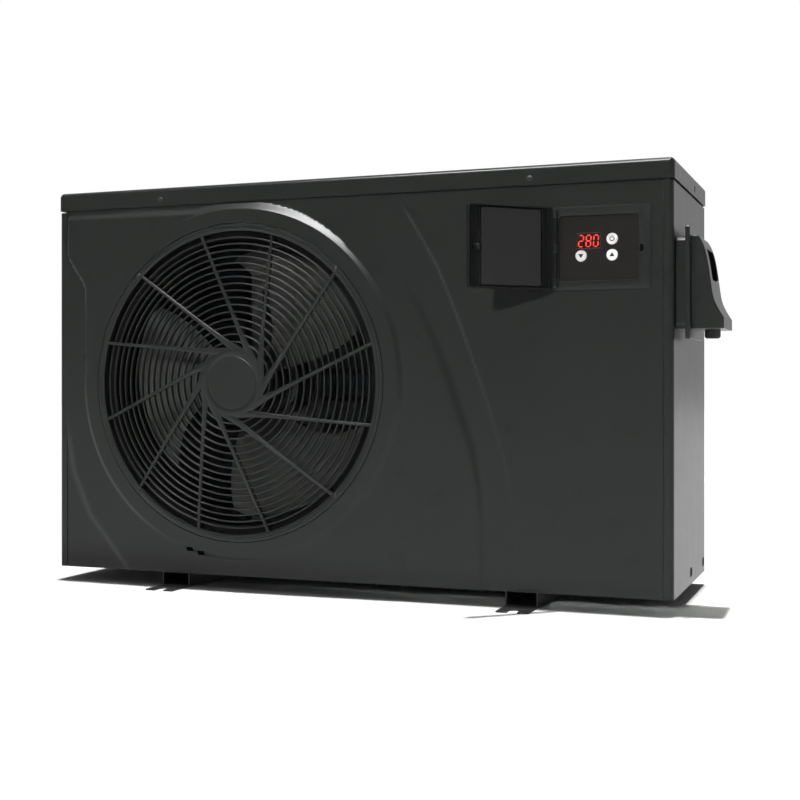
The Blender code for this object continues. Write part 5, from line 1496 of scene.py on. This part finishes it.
def cable_hood():
    """Hollow moulded hood with rounded cheeks, a hand-hold and the cable's hole."""
    low, high = local_box("cable_cover_hood")
    out = high.x - low.x
    hood = prism("hood", hood_outline(low.x, low.z, high.z, out), "Y", low.y, high.y)
    wall_x = at(low.x, 0, 0).x
    ends = (at(0, low.y, 0).y, at(0, high.y, 0).y)

    def cheek(edge):
        a, b = edge.verts[0].co, edge.verts[1].co
        on_end = any(abs(a.y - y) < 1e-5 and abs(b.y - y) < 1e-5 for y in ends)
        return on_end and max(a.x, b.x) > wall_x + 1e-4

    bevel_edges(hood, 0.0050, 5, cheek)
    inside = prism("inside", hood_outline(low.x, low.z, high.z, out, 0.003), "Y", low.y + 0.003,
                   high.y - 0.003)
    cut(hood, outward(inside))
    hold = cube("hold", (low.x + 0.012, low.y + 0.022, low.z + 0.068),
                (low.x + 0.060, high.y - 0.007, low.z + 0.112))
    bevel_edges(hold, 0.006, 4, along(0))
    cut(hood, hold)
    gland_low, gland_high = local_box("cable_gland")
    spot = (gland_low + gland_high) / 2
    cut(hood, cylinder("gland_hole", 0.008, (spot.x, spot.y, low.z - 0.01), (spot.x, spot.y, low.z + 0.01),
                       "Z", 48))
    ease(hood, 0.0006, 2, 30.0)
    place_piece(hood, "cable_cover_hood_moulding", "root", "panel_charcoal", replaces=("cable_cover_hood",))


def cable_base():
    """Neck and flange that carry the hood, open for the cables."""
    low, high = local_box("cable_cover_base")
    neck = 0.0145
    flange_x = low.x + neck
    margin = 0.014
    body = cube("neck", (low.x, low.y + margin - 0.001, low.z + margin),
                (flange_x + 0.001, high.y - margin, high.z - margin))
    bevel_edges(body, 0.010, 6, along(0))
    flange = cube("flange", (flange_x, low.y, low.z), (high.x, high.y, high.z))
    bevel_edges(flange, 0.005, 5, along(0))
    for part in (body, flange):
        passage = cube("passage", (low.x - 0.03, low.y + 0.033, low.z + 0.034),
                       (high.x + 0.03, high.y - 0.029, high.z - 0.044))
        cut(part, bevel_edges(passage, 0.004, 3, along(0)))
    ease(body, 0.0005, 2)
    ease(flange, 0.0009, 3)
    place_piece(join("base", [body, flange]), "cable_cover_base_moulding", "root", "panel_charcoal",
                replaces=("cable_cover_base",))


def cable_gland():
    """Rubber gland under the hood: one stepped ring."""
    low, high = local_box("cable_gland")
    spot = (low + high) / 2
    hood_z = local_box("cable_cover_hood")[0].z
    profile = [(0.005, low.z), (0.0086, low.z), (0.0098, low.z + 0.0008), (0.0110, low.z + 0.0030),
               (0.0110, hood_z - 0.0003),
               (0.0077, hood_z - 0.0003), (0.0077, high.z), (0.005, high.z)]
    parts = [shade(spun("gland", profile, "Z", (spot.x, spot.y), 48), 35.0)]
    place_piece(join("gland", parts), "cable_gland_ring", "root", "rubber_black", replaces=("cable_gland",))


# ---------------------------------------------------------------- the parts kept from the frame

def carried_over():
    """Every CAD node wears its slot's finish, except the fan shroud, which wears a near-black painted shade.
    """
    for name, node in NODES.items():
        node.data.materials.clear()
        # the fan shroud wears a near-black painted shade instead of its slot's finish
        finish = "shroud_black" if name == "fan_shroud" else SLOT_OF[name]
        node.data.materials.append(FINISHES[finish].material)


def main():
    finishes()
    camera()
    studio()
    floor()
    carried_over()
    front_panel()
    side_panel(-1)
    side_panel(1)
    louvre_blades()
    side_plugs()
    top_cover()
    cover_screws()
    folded_foot("foot_left")
    folded_foot("foot_right")
    base_pan()
    rear_guard()
    rear_panel()
    fan_grille()
    fan_rotor()
    coil_fins()
    union_nut("inlet")
    union_nut("outlet")
    control_frame()
    display_plate()
    seven_segments("280")
    buttons()
    control_door()
    door_catch()
    cable_hood()
    cable_base()
    cable_gland()


main()
